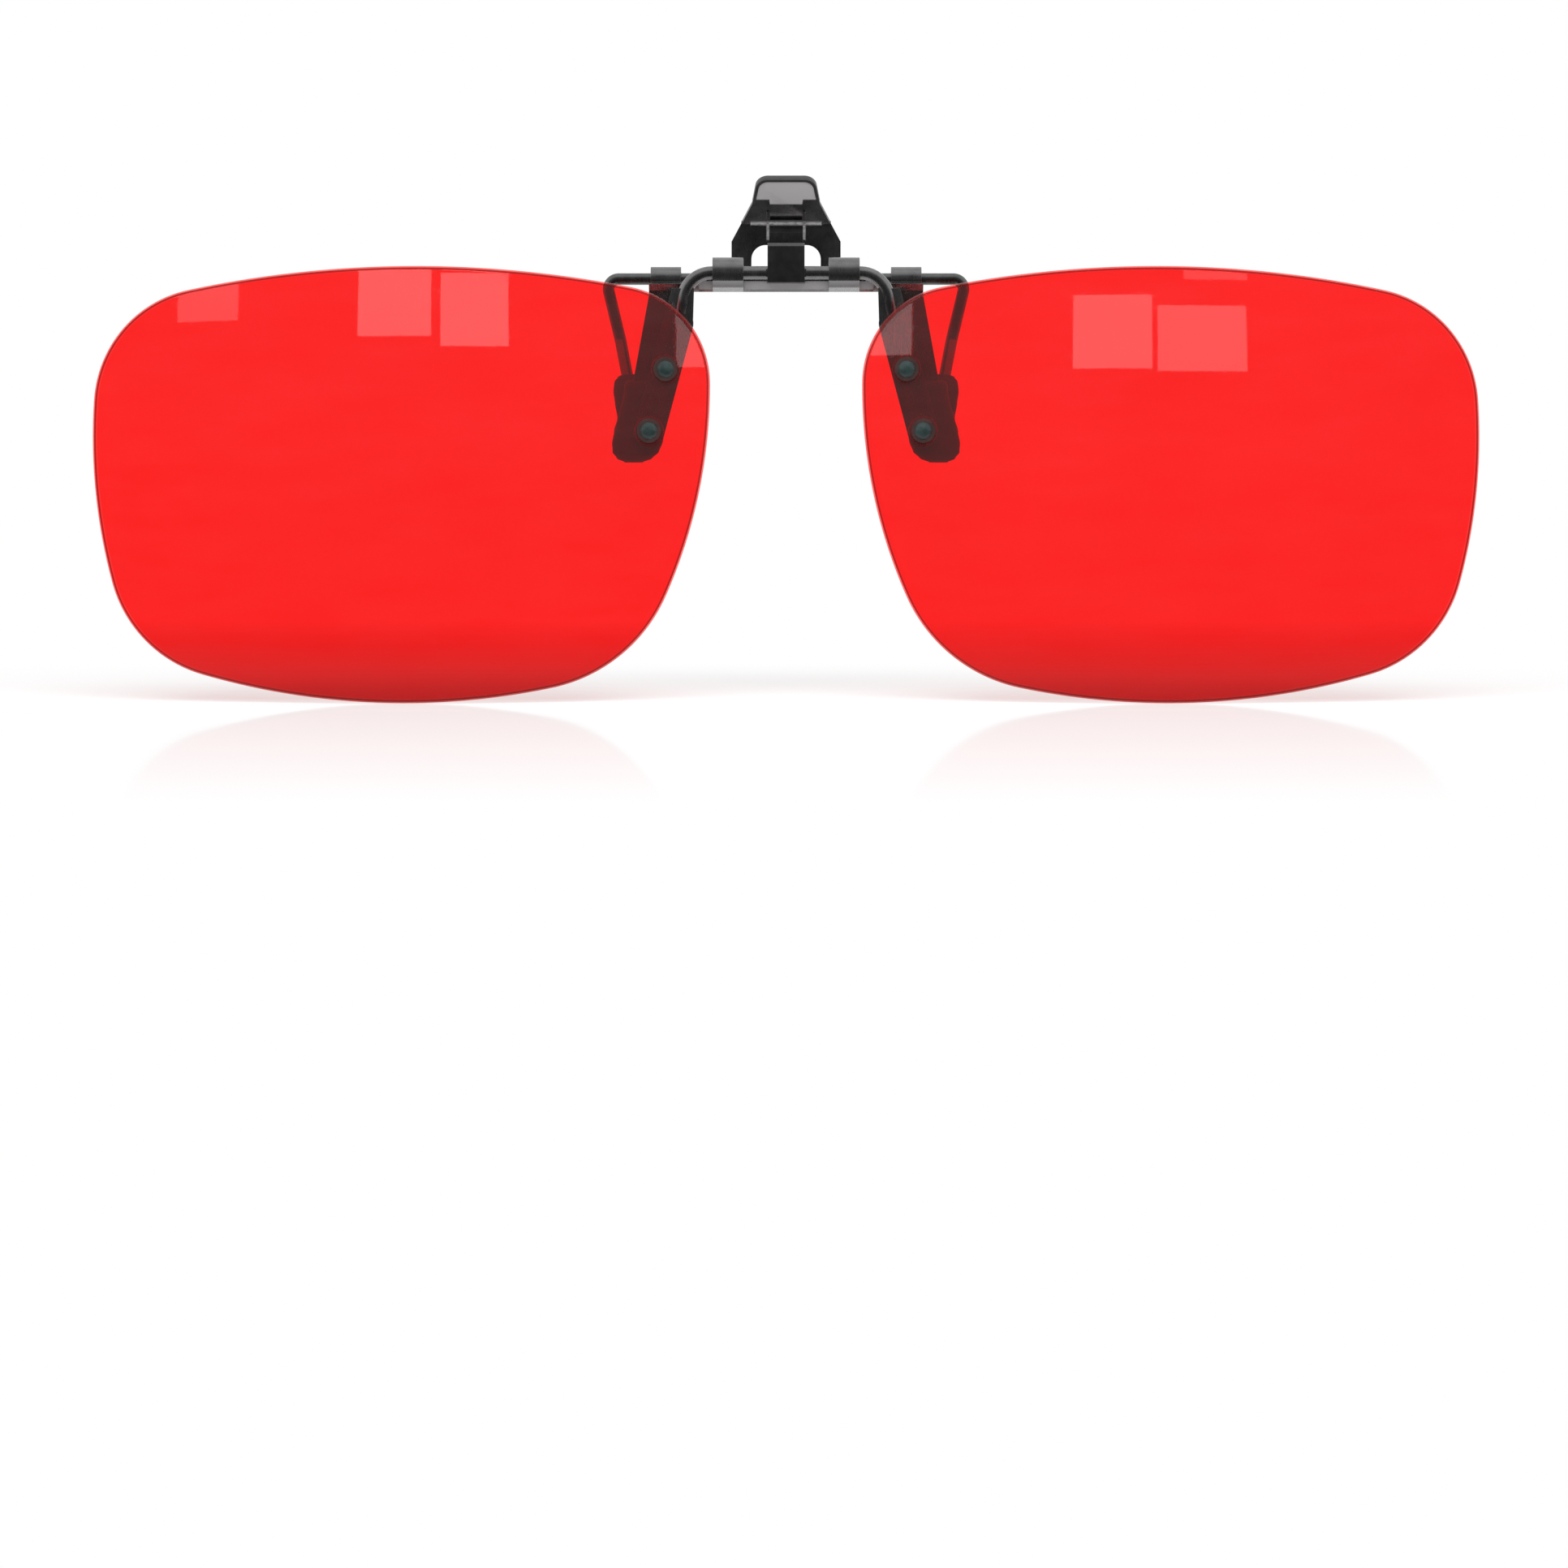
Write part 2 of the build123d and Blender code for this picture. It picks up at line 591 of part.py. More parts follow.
def tab_outline(inset):
    """The round-topped head of the tab, drawn in from its outer edge."""
    neck = up_the_tab(LEVER_NECK_Z)
    top = up_the_tab(LEVER_TOP_Z) - inset
    low = LEVER_NECK_HALF - inset
    high = LEVER_TOP_HALF - inset
    head = polygon([(-low, neck), (low, neck), (high, top), (-high, top)])
    corners = head.vertices().sort_by(Axis.Y)[-2:]
    return fillet(corners, LEVER_TOP_RADIUS - inset)


def thumb_lever():
    """A stamped lever: two feet crimped on the wire, an arch between them, a beaded bend, a leaning tab."""
    base = polygon([
        (-LEVER_HALF, WIRE_Z),
        (-LEVER_HALF, LEVER_SHOULDER_Z),
        (-half_width(LEVER_BEND_Z), LEVER_BEND_Z),
        (half_width(LEVER_BEND_Z), LEVER_BEND_Z),
        (LEVER_HALF, LEVER_SHOULDER_Z),
        (LEVER_HALF, WIRE_Z),
    ])
    arch = polygon([
        (-ARCH_HALF, WIRE_Z - LEVER_BARREL_RADIUS),
        (ARCH_HALF, WIRE_Z - LEVER_BARREL_RADIUS),
        (ARCH_HALF, ARCH_TOP_Z),
        (-ARCH_HALF, ARCH_TOP_Z),
    ])
    arch = fillet(arch.vertices().sort_by(Axis.Y)[-2:], ARCH_RADIUS)
    upright = slab(base - arch, WIRE_Y - LEVER_SHEET / 2, WIRE_Y + LEVER_SHEET / 2)

    neck = up_the_tab(LEVER_NECK_Z)
    throat = polygon([
        (-half_width(LEVER_BEND_Z), 0),
        (half_width(LEVER_BEND_Z), 0),
        (LEVER_NECK_HALF, neck),
        (-LEVER_NECK_HALF, neck),
    ])
    tab = extrude(lean_plane() * (throat + tab_outline(CAP_WALL)), amount=LEVER_SHEET / 2, both=True)
    bend_half = half_width(LEVER_BEND_Z)
    elbow = rod_x(LEVER_SHEET / 2, -bend_half, bend_half, WIRE_Y, LEVER_BEND_Z)

    lever = upright + tab + elbow
    slot = Rectangle(2 * SLOT_HALF, SLOT_HEIGHT)
    floor = SLOT_DEPTH - LEVER_SHEET / 2
    lever -= slab(Pos(0, LEVER_BEND_Z - SLOT_FROM_BEND) * slot, WIRE_Y - LEVER_SHEET, WIRE_Y + floor)
    upper_slot = lean_plane().offset(-floor) * Pos(0, SLOT_FROM_BEND + SLOT_HEIGHT / 2) * slot
    lever -= extrude(upper_slot, amount=LEVER_SHEET)
    bead_y = WIRE_Y - LEVER_SHEET / 2
    bead_z = LEVER_BEND_Z - LEVER_SHEET / 2 * tan(radians(LEVER_LEAN) / 2)
    lever += rod_x(BEAD_RADIUS, -BEAD_HALF, BEAD_HALF, bead_y, bead_z)
    tab_face = lean_plane().offset(LEVER_SHEET / 2)
    for side in (-1, 1):
        lever += rod_z(RIB_RADIUS, side * RIB_X, bead_y, bead_z - RIB_LENGTH, bead_z)
        foot = Plane(tab_face.origin + Vector(side * RIB_X, 0, 0), z_dir=tab_face.y_dir)
        lever += extrude(foot * Circle(RIB_RADIUS), amount=RIB_LENGTH)
        barrel_start = side * (ARCH_HALF + LEVER_HALF) / 2 - (LEVER_HALF - ARCH_HALF) / 2
        barrel_end = barrel_start + LEVER_HALF - ARCH_HALF
        lever += rod_x(LEVER_BARREL_RADIUS, barrel_start, barrel_end, WIRE_Y, WIRE_Z)
    return lever - rod_x(WIRE_RADIUS, -LEVER_HALF, LEVER_HALF, WIRE_Y, WIRE_Z)


def thumb_cap():
    """A moulded cap over the back and the edges of the tab, open in front."""
    back = lean_plane().offset(-LEVER_SHEET / 2 - CAP_BACK)
    cap = extrude(back * tab_outline(0.0), amount=CAP_BACK + LEVER_SHEET + CAP_LIP)
    pocket = extrude(lean_plane() * tab_outline(CAP_WALL), amount=LEVER_SHEET / 2, both=True)
    window = extrude(lean_plane() * tab_outline(CAP_WALL + CAP_OVERLAP), amount=LEVER_SHEET)
    return cap - pocket - window


# ---------------------------------------------------------------- torsion springs

def torsion_spring():
    """A close coil round the wire, one end up against the lever, the other down on the plate."""
    axis = Plane(origin=(SPRING_INNER_X, WIRE_Y, WIRE_Z), x_dir=(0, -1, 0), z_dir=(1, 0, 0))
    coil_length = SPRING_TURNS * SPRING_PITCH
    helix = axis.location * Helix(SPRING_PITCH, coil_length, SPRING_MEAN_RADIUS)
    section = Plane(helix @ 0, z_dir=helix % 0) * Circle(SPRING_WIRE_RADIUS)
    coil = sweep(section, path=helix, is_frenet=True)
    start, finish = helix @ 0, helix @ 1
    lever_side = WIRE_Y - LEVER_SHEET / 2 - SPRING_WIRE_RADIUS - SPRING_GAP
    lift = [
        start,
        Vector(start.X, lever_side, SPRING_LIFT_Z),
        Vector(LEVER_HALF - SPRING_HOOK, lever_side, SPRING_LIFT_Z),
    ]
    rest_z = PLATE_TOP_Z + SPRING_WIRE_RADIUS + SPRING_GAP
    rest = [
        finish,
        Vector(finish.X, finish.Y, rest_z),
        Vector(finish.X, LEG_Y + SPRING_REST_BACK, rest_z),
    ]
    spring = coil
    corner = Sphere(SPRING_CORNER_RADIUS)
    for points in (lift, rest):
        spring += Pos(*points[0]) * corner
        for begin, end in zip(points, points[1:]):
            reach = end - begin
            leg = Plane(begin, z_dir=reach) * Circle(SPRING_WIRE_RADIUS)
            spring += extrude(leg, amount=reach.length)
            spring += Pos(*end) * corner
    return spring


# ---------------------------------------------------------------- export

def solids_of(shape):
    """A list of shapes as one compound, a single shape as it is."""
    if isinstance(shape, list):
        return Compound(children=[Solid(each.solid().wrapped) for each in shape])
    return shape


def both_sides(name, maker):
    """The same piece on the right and mirrored on the left."""
    right = maker()
    left = [mirrored(each) for each in right] if isinstance(right, list) else mirrored(right)
    return {f"right_{name}": right, f"left_{name}": left}


def build():
    """Every node of the assembly by name."""
    nodes = {
        "clamp_frame": clamp_frame(),
        "lug_bushes": lug_bushes(),
        "detent_leaf": detent_leaf(),
        "leaf_rivets": leaf_rivets(),
        "lens_bridge": lens_bridge(),
        "rear_wire": rear_wire(),
        "thumb_lever": thumb_lever(),
        "thumb_cap": thumb_cap(),
    }
    for name, maker in (
        ("lens", lens),
        ("lens_bushings", lens_bushings),
        ("lens_washers", lens_washers),
        ("lens_rivets", lens_rivets),
        ("front_boot", front_boot),
        ("rear_boot", rear_boot),
        ("torsion_spring", torsion_spring),
    ):
        nodes.update(both_sides(name, maker))
    return nodes


os.makedirs("parts", exist_ok=True)
for node, shape in build().items():
    export_step(solids_of(shape), f"parts/{node}.step")
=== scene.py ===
"""Looks of the flip-up clip-on sunglasses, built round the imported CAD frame.

Lengths are in metres, unless a comment says millimetres.
"""
import json
import math

import bmesh
import bpy
from mathutils import Matrix, Vector

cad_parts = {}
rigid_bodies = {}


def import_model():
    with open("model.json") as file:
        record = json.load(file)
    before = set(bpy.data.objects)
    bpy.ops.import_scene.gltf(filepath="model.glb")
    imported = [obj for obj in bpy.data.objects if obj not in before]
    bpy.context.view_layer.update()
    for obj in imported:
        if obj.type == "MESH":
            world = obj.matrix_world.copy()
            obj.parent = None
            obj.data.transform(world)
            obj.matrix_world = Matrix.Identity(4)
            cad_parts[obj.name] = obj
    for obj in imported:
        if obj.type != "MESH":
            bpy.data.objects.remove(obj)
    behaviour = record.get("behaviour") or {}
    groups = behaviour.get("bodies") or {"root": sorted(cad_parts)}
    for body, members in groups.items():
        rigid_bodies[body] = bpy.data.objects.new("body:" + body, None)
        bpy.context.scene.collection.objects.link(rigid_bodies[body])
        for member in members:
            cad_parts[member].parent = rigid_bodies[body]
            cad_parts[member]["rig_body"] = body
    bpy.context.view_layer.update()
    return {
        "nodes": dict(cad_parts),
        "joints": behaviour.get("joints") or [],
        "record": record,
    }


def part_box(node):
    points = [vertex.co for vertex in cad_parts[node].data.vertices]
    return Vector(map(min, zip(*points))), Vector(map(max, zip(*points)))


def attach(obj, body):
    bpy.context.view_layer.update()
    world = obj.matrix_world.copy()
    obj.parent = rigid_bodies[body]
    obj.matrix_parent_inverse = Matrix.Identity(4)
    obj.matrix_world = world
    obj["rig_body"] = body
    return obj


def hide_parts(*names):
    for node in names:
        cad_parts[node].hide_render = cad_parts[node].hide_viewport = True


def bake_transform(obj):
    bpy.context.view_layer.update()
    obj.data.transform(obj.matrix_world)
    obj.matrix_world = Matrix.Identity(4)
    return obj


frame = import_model()
MM = 0.001
SIDES = ("right", "left")


def sign(side):
    return 1.0 if side == "right" else -1.0


def joint(name):
    return next(j for j in frame["joints"] if j["name"] == name)


FLIP = Vector(joint("lens_flip")["pos_m"])
WIRE = Vector(joint("clamp_open")["pos_m"])


# ---------------------------------------------------------------- mesh helpers

WELD_DISTANCE = 2e-7
SHORTEST_EDGE = 1e-7
BEVEL_WELD_DISTANCE = 2e-8
FLAT_ANGLE = 0.6
SHARP_ANGLE = 32.0

# Largest angle in degrees that is still shaded smooth
CAD_CREASE = 35.0
TURNED_CREASE = 40.0
RUBBER_CREASE = 60.0


def new_piece(name, verts, faces, body, material_ids=None, materials=()):
    """A mesh piece in the row frame, riding on a CAD body."""
    mesh = bpy.data.meshes.new(name)
    mesh.from_pydata([tuple(v) for v in verts], [], faces)
    mesh.validate()
    obj = bpy.data.objects.new(name, mesh)
    bpy.context.scene.collection.objects.link(obj)
    for material in materials:
        mesh.materials.append(material)
    if material_ids:
        for polygon, index in zip(mesh.polygons, material_ids):
            polygon.material_index = index
    if body:
        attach(obj, body)
    return obj


def shade(obj, angle):
    """Smooth shading with sharp edges above an angle in degrees."""
    mesh = obj.data
    mesh.polygons.foreach_set("use_smooth", [True] * len(mesh.polygons))
    mesh.set_sharp_from_angle(angle=math.radians(angle))
    mesh.update()


def fix_normals(obj):
    """Turns every face of a closed mesh outwards."""
    bm = bmesh.new()
    bm.from_mesh(obj.data)
    bmesh.ops.recalc_face_normals(bm, faces=bm.faces)
    bm.to_mesh(obj.data)
    bm.free()


def refined(node, material, slot, width, segments, ride=True):
    """A CAD node rebuilt with rounded edges: flat faces joined, sharp edges bevelled, smooth shading."""
    source = frame["nodes"][node]
    bm = bmesh.new()
    bm.from_mesh(source.data)
    bmesh.ops.remove_doubles(bm, verts=bm.verts, dist=WELD_DISTANCE)
    bmesh.ops.dissolve_degenerate(bm, dist=SHORTEST_EDGE, edges=bm.edges)
    bmesh.ops.dissolve_limit(
        bm, angle_limit=math.radians(FLAT_ANGLE), verts=bm.verts, edges=bm.edges, delimit={"NORMAL"})
    if width > 0:
        limit = math.radians(SHARP_ANGLE)
        edges = [e for e in bm.edges if e.is_manifold and e.calc_face_angle(0.0) > limit]
        bmesh.ops.bevel(
            bm, geom=edges, offset=width, offset_type="OFFSET", segments=segments, profile=0.5,
            affect="EDGES", clamp_overlap=True, harden_normals=False)
        bmesh.ops.remove_doubles(bm, verts=bm.verts, dist=BEVEL_WELD_DISTANCE)
    bmesh.ops.recalc_face_normals(bm, faces=bm.faces)
    mesh = bpy.data.meshes.new(node + "_finished")
    bm.to_mesh(mesh)
    bm.free()
    obj = bpy.data.objects.new(mesh.name, mesh)
    bpy.context.scene.collection.objects.link(obj)
    mesh.materials.append(material)
    shade(obj, CAD_CREASE)
    if ride:
        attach(obj, source["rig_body"])
    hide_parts(node)
    return obj


# ---------------------------------------------------------------- material helpers

WHITE = (1, 1, 1, 1)

# The range that most of a noise pattern's values lie in
NOISE_RANGE = (0.3, 0.7)

# Noise patterns: scale, detail, and roughness where it isn't the usual one
METAL_CLOUD = (900.0, 4.0)
METAL_GRAIN = (9000.0, 3.0)
METAL_SPECK = (26000.0, 2.0)
# Patches that break up the painted highlights on the lever's bead and ribs
RIDGE_HIGHLIGHT_PATCHES = (2500.0, 3.0)
RUBBER_CLOUD = (700.0, 5.0)
RUBBER_GRAIN = (14000.0, 4.0, 0.65)
PLASTIC_CLOUD = (1100.0, 4.0)
PLASTIC_PEEL = (6000.0, 2.0)
TINT_CLOUD = (55.0, 4.0)
TINT_WIPES = (420.0, 5.0, 0.6)
TINT_FINE = (3800.0, 3.0)
FLOOR_CLOUD = (14.0, 3.0)

# Bumps: height and strength
BRUSHED_BUMP = (0.000004, 0.35)
SPECK_BUMP = (0.000003, 0.25)
RUBBER_BUMP = (0.00001, 0.5)
PEEL_BUMP = (0.000006, 0.3)

# How far the roughness strays with the brushing and the clouding
BRUSHED_ROUGHNESS = (-0.05, 0.08)
CLOUDED_ROUGHNESS = (-0.03, 0.04)

# Worn edges: radius of the rounded normal, and the cosines between which wear sets in
WEAR_SAMPLES = 4
WEAR_COSINES = (0.995, 0.86)
METAL_WEAR_RADIUS = 0.00012
RUBBER_WEAR_RADIUS = 0.00025
WORN_BRIGHTNESS = 1.9

# Rubber: tone, tone of the dusty patches, and tone of the rubbed edges
RUBBER_TONES = ((0.010, 0.010, 0.010, 1), (0.022, 0.021, 0.021, 1), (0.050, 0.049, 0.048, 1))
RUBBER_ROUGHNESS = (0.52, 0.68)
RUBBER_IOR = 1.48

# Tinted plastic: it is painted deeper in tone and clearer of haze towards the foot of the lens, a painted
# shade that stands in for the shaded floor seen through it
LENS_IOR = 1.27
SHADOW_TONE = (0.80, 0.72, 0.71, 1)
DEEP_TONE = 0.985
FOOT_PAINTED_SHADE = 0.75
FOOT_SHADE_HAZE = 0.4
FOOT_SHADE_Z = (0.0005, 0.0080)
HAZE_SPREAD = 1.35

# Places coloured on the lever's front: the paler thumb pad's stepped lower edge, and painted highlights on
# the bead and the two ribs
SOFT_BORDER = 0.00006
TAB_FACE_Z = 0.04845
TAB_STEP_X = (0.00160, 0.00166)
TAB_STEP_HEIGHT = 0.00045
BEAD_Z = 0.0466
BEAD_HALF_WIDTH = 0.0035
BEAD_HALF_HEIGHT = 0.00016
RIB_X = 0.0018
RIB_Z = 0.0457
RIB_HALF_WIDTH = 0.00012
RIB_HALF_HEIGHT = 0.0007
PAD_TONE = (0.34, 0.34, 0.345, 1)
# Tone of the painted highlights on the bead and ribs
RIDGE_HIGHLIGHT_TONE = (0.20, 0.20, 0.205, 1)

# Places painted on the plate's front: a painted highlight along the cut edge, painted shade in the gap above
# it under the rod, and a dimmer painted highlight on the knuckles that cover both, as they stand further
# forward in the light
FORWARD_NORMAL = (-0.6, -0.3)
EDGE_BAND_Z = 0.0405
EDGE_BAND_HALF_WIDTH = 0.0086
EDGE_BAND_HALF_HEIGHT = 0.00040
GAP_Z = 0.04125
GAP_HALF_HEIGHT = 0.00045
KNUCKLE_X = 0.00565
KNUCKLE_HALF_WIDTH = 0.0015
EDGE_HIGHLIGHT_TONE = (0.29, 0.29, 0.295, 1)
KNUCKLE_HIGHLIGHT_TONE = (0.19, 0.19, 0.195, 1)
GAP_SHADE_TONE = (0.012, 0.012, 0.012, 1)


class Nodes:
    """Short ways to add and join shader nodes."""

    def __init__(self, name):
        self.material = bpy.data.materials.new(name)
        self.material.use_nodes = True
        self.tree = self.material.node_tree
        self.tree.nodes.clear()
        self.out = self.tree.nodes.new("ShaderNodeOutputMaterial")
        self.place = self.tree.nodes.new("ShaderNodeTexCoord").outputs["Object"]

    def add(self, kind, **inputs):
        node = self.tree.nodes.new(kind)
        for key, value in inputs.items():
            self.put(node.inputs[key.replace("_", " ")], value)
        return node

    def put(self, socket, value):
        if isinstance(value, bpy.types.NodeSocket):
            self.tree.links.new(value, socket)
        else:
            socket.default_value = value

    def noise(self, scale, detail, rough=0.55, stretch=None):
        source = self.place
        if stretch:
            mapping = self.add("ShaderNodeMapping", Vector=source)
            mapping.inputs["Scale"].default_value = stretch
            source = mapping.outputs[0]
        node = self.add("ShaderNodeTexNoise", Vector=source, Scale=scale, Detail=detail, Roughness=rough)
        return node.outputs["Fac"]

    def remap(self, value, low, high, to_low, to_high):
        node = self.add("ShaderNodeMapRange", Value=value)
        for socket, number in zip(node.inputs[1:5], (low, high, to_low, to_high)):
            socket.default_value = number
        return node.outputs[0]

    def spread(self, noise, low=0.0, high=1.0):
        """A noise pattern's usual range of values, taken to a new range."""
        return self.remap(noise, *NOISE_RANGE, low, high)

    def math(self, operation, a, b=0.0):
        node = self.tree.nodes.new("ShaderNodeMath")
        node.operation = operation
        self.put(node.inputs[0], a)
        self.put(node.inputs[1], b)
        return node.outputs[0]

    def mix(self, share, a, b):
        node = self.tree.nodes.new("ShaderNodeMix")
        node.data_type = "RGBA"
        self.put(node.inputs["Factor"], share)
        self.put(node.inputs[6], a)
        self.put(node.inputs[7], b)
        return node.outputs[2]

    def mix_shaders(self, share, first, second):
        node = self.tree.nodes.new("ShaderNodeMixShader")
        self.put(node.inputs[0], share)
        self.tree.links.new(first.outputs[0], node.inputs[1])
        self.tree.links.new(second.outputs[0], node.inputs[2])
        return node

    def bump(self, height, distance, strength, normal=None):
        node = self.add("ShaderNodeBump", Height=height, Distance=distance, Strength=strength)
        if normal is not None:
            self.put(node.inputs["Normal"], normal)
        return node.outputs[0]

    def edge_wear(self, radius):
        """How far the rounded normal leans from the true one: high along edges."""
        bevel = self.tree.nodes.new("ShaderNodeBevel")
        bevel.samples = WEAR_SAMPLES
        bevel.inputs["Radius"].default_value = radius
        geometry = self.tree.nodes.new("ShaderNodeNewGeometry")
        dot = self.tree.nodes.new("ShaderNodeVectorMath")
        dot.operation = "DOT_PRODUCT"
        self.put(dot.inputs[0], bevel.outputs[0])
        self.put(dot.inputs[1], geometry.outputs["Normal"])
        return self.remap(dot.outputs["Value"], *WEAR_COSINES, 0.0, 1.0)

    def finish(self, shader):
        self.tree.links.new(shader, self.out.inputs["Surface"])
        return self.material


def metal(name, dark, light, roughness, grain=(1, 1, 1), wear=0.4, tint=(1.0, 1.0, 1.0), face=None):
    """Plated steel: cloudy tone, fine brushed grain, brighter worn edges.

    face gives the share and the tone of places coloured over the metal which don't shine like metal: painted
    highlights and shade, and the lever's paler pad.
    """
    n = Nodes(name)
    cloud = n.noise(*METAL_CLOUD)
    brushed = n.noise(*METAL_GRAIN, stretch=grain)
    speck = n.noise(*METAL_SPECK)
    low = tuple(dark * c for c in tint) + (1.0,)
    high = tuple(light * c for c in tint) + (1.0,)
    tone = n.mix(n.spread(cloud), low, high)
    worn = n.math("MULTIPLY", n.edge_wear(METAL_WEAR_RADIUS), n.remap(speck, 0.35, 0.65, 0.3, 1.0))
    bright = tuple(min(1.0, light * WORN_BRIGHTNESS * c) for c in tint) + (1.0,)
    tone = n.mix(n.math("MULTIPLY", worn, wear), tone, bright)
    metallic, gloss = 1.0, 0.5
    if face:
        # Painted highlights and shade, and the paler pad, laid over the metal where the face mask is
        mask, face_tone = face(n)
        tone = n.mix(mask, tone, face_tone)
        metallic = n.math("SUBTRACT", 1.0, mask)
        gloss = n.math("MULTIPLY", metallic, gloss)
    rough = n.math("ADD", roughness, n.spread(brushed, *BRUSHED_ROUGHNESS))
    rough = n.math("ADD", rough, n.spread(cloud, *CLOUDED_ROUGHNESS))
    normal = n.bump(brushed, *BRUSHED_BUMP)
    normal = n.bump(speck, *SPECK_BUMP, normal)
    shader = n.add(
        "ShaderNodeBsdfPrincipled", Base_Color=tone, Metallic=metallic, Roughness=rough, Normal=normal,
        Specular_IOR_Level=gloss)
    return n.finish(shader.outputs[0])


def rubber(name):
    """Matte black rubber: fine moulded grain, dusty patches, lighter rubbed edges."""
    n = Nodes(name)
    plain, dusty, rubbed = RUBBER_TONES
    cloud = n.noise(*RUBBER_CLOUD)
    grain = n.noise(*RUBBER_GRAIN)
    tone = n.mix(n.remap(cloud, 0.35, 0.75, 0.0, 1.0), plain, dusty)
    worn = n.math("MULTIPLY", n.edge_wear(RUBBER_WEAR_RADIUS), n.remap(grain, 0.4, 0.6, 0.1, 0.45))
    tone = n.mix(worn, tone, rubbed)
    rough = n.spread(cloud, *RUBBER_ROUGHNESS)
    normal = n.bump(grain, *RUBBER_BUMP)
    shader = n.add(
        "ShaderNodeBsdfPrincipled", Base_Color=tone, Roughness=rough, Normal=normal, IOR=RUBBER_IOR)
    return n.finish(shader.outputs[0])


def plastic(name, dark, light, roughness, gloss=0.5):
    """Moulded plastic with a faint orange-peel surface and cloudy gloss."""
    n = Nodes(name)
    cloud = n.noise(*PLASTIC_CLOUD)
    peel = n.noise(*PLASTIC_PEEL)
    tone = n.mix(n.spread(cloud), dark, light)
    rough = n.spread(cloud, roughness - 0.05, roughness + 0.07)
    normal = n.bump(peel, *PEEL_BUMP)
    shader = n.add(
        "ShaderNodeBsdfPrincipled", Base_Color=tone, Roughness=rough, Normal=normal, Specular_IOR_Level=gloss)
    return n.finish(shader.outputs[0])


def tinted(name, through, body_tone, haze, roughness):
    """Clear tinted plastic: colour from what passes, a Fresnel mirror on top, faint wiping marks and haze."""
    n = Nodes(name)
    cloud = n.noise(*TINT_CLOUD)
    wipe = n.noise(*TINT_WIPES, stretch=(0.25, 1.0, 1.0))
    fine = n.noise(*TINT_FINE, stretch=(0.3, 1.0, 1.0))
    deep = tuple(c * DEEP_TONE for c in through[:3]) + (1.0,)
    tone = n.mix(n.spread(cloud), through, deep)
    height = n.add("ShaderNodeSeparateXYZ", Vector=n.place).outputs["Z"]
    # Painted shade: the tone darkens towards the foot of the lens
    foot = tuple(c * FOOT_PAINTED_SHADE for c in through[:3]) + (1.0,)
    tone = n.mix(n.remap(height, *FOOT_SHADE_Z, 0.0, 1.0), foot, tone)
    tone = n.mix(n.tree.nodes.new("ShaderNodeLightPath").outputs["Is Shadow Ray"], tone, SHADOW_TONE)
    clear = n.add("ShaderNodeBsdfTransparent", Color=tone)
    body = n.add("ShaderNodeBsdfPrincipled", Base_Color=body_tone, Roughness=0.4)
    body.inputs["Specular IOR Level"].default_value = 0.0
    share = n.remap(wipe, 0.35, 0.8, haze, haze * HAZE_SPREAD)
    # The haze thins towards the foot too, as part of the painted shade
    share = n.math("MULTIPLY", share, n.remap(height, *FOOT_SHADE_Z, FOOT_SHADE_HAZE, 1.0))
    inside = n.mix_shaders(share, clear, body)
    rough = n.math("ADD", roughness, n.remap(fine, 0.5, 0.8, 0.0, 0.05))
    mirror = n.add("ShaderNodeBsdfGlossy", Color=WHITE, Roughness=rough)
    inner_side = n.tree.nodes.new("ShaderNodeNewGeometry").outputs["Backfacing"]
    fresnel = n.add("ShaderNodeFresnel", IOR=n.remap(inner_side, 0.0, 1.0, LENS_IOR, 1 / LENS_IOR))
    return n.finish(n.mix_shaders(fresnel.outputs[0], inside, mirror).outputs[0])


def front_facing(n):
    """1 on surfaces that look forward, 0 on the rest."""
    geometry = n.tree.nodes.new("ShaderNodeNewGeometry")
    split = n.add("ShaderNodeSeparateXYZ", Vector=geometry.outputs["Normal"])
    return n.remap(split.outputs["Y"], *FORWARD_NORMAL, 1.0, 0.0)


def within(n, value, middle, half):
    """1 where a coordinate is near the middle value, with a short soft border."""
    gap = n.math("ABSOLUTE", n.math("SUBTRACT", value, middle))
    return n.remap(gap, half, half + SOFT_BORDER, 1.0, 0.0)


def lever_front(n):
    """The paler thumb pad with its stepped lower edge, and painted highlights on the bead and ribs at the
    bend.
    """
    split = n.add("ShaderNodeSeparateXYZ", Vector=n.place)
    across = n.math("ABSOLUTE", split.outputs["X"])
    up = split.outputs["Z"]
    step = n.remap(across, *TAB_STEP_X, 0.0, TAB_STEP_HEIGHT)
    pad = n.remap(n.math("SUBTRACT", up, step), TAB_FACE_Z - SOFT_BORDER, TAB_FACE_Z + SOFT_BORDER, 0.0, 1.0)
    bead = n.math(
        "MULTIPLY", within(n, up, BEAD_Z, BEAD_HALF_HEIGHT), within(n, across, 0.0, BEAD_HALF_WIDTH))
    rib = n.math(
        "MULTIPLY", within(n, up, RIB_Z, RIB_HALF_HEIGHT), within(n, across, RIB_X, RIB_HALF_WIDTH))
    # Painted highlights on the bead and ribs, broken into patches
    patches = n.remap(n.noise(*RIDGE_HIGHLIGHT_PATCHES), 0.3, 0.6, 0.45, 1.0)
    rubbed = n.math("MULTIPLY", n.math("MAXIMUM", bead, rib), patches)
    return n.math("MAXIMUM", pad, rubbed), n.mix(pad, RIDGE_HIGHLIGHT_TONE, PAD_TONE)


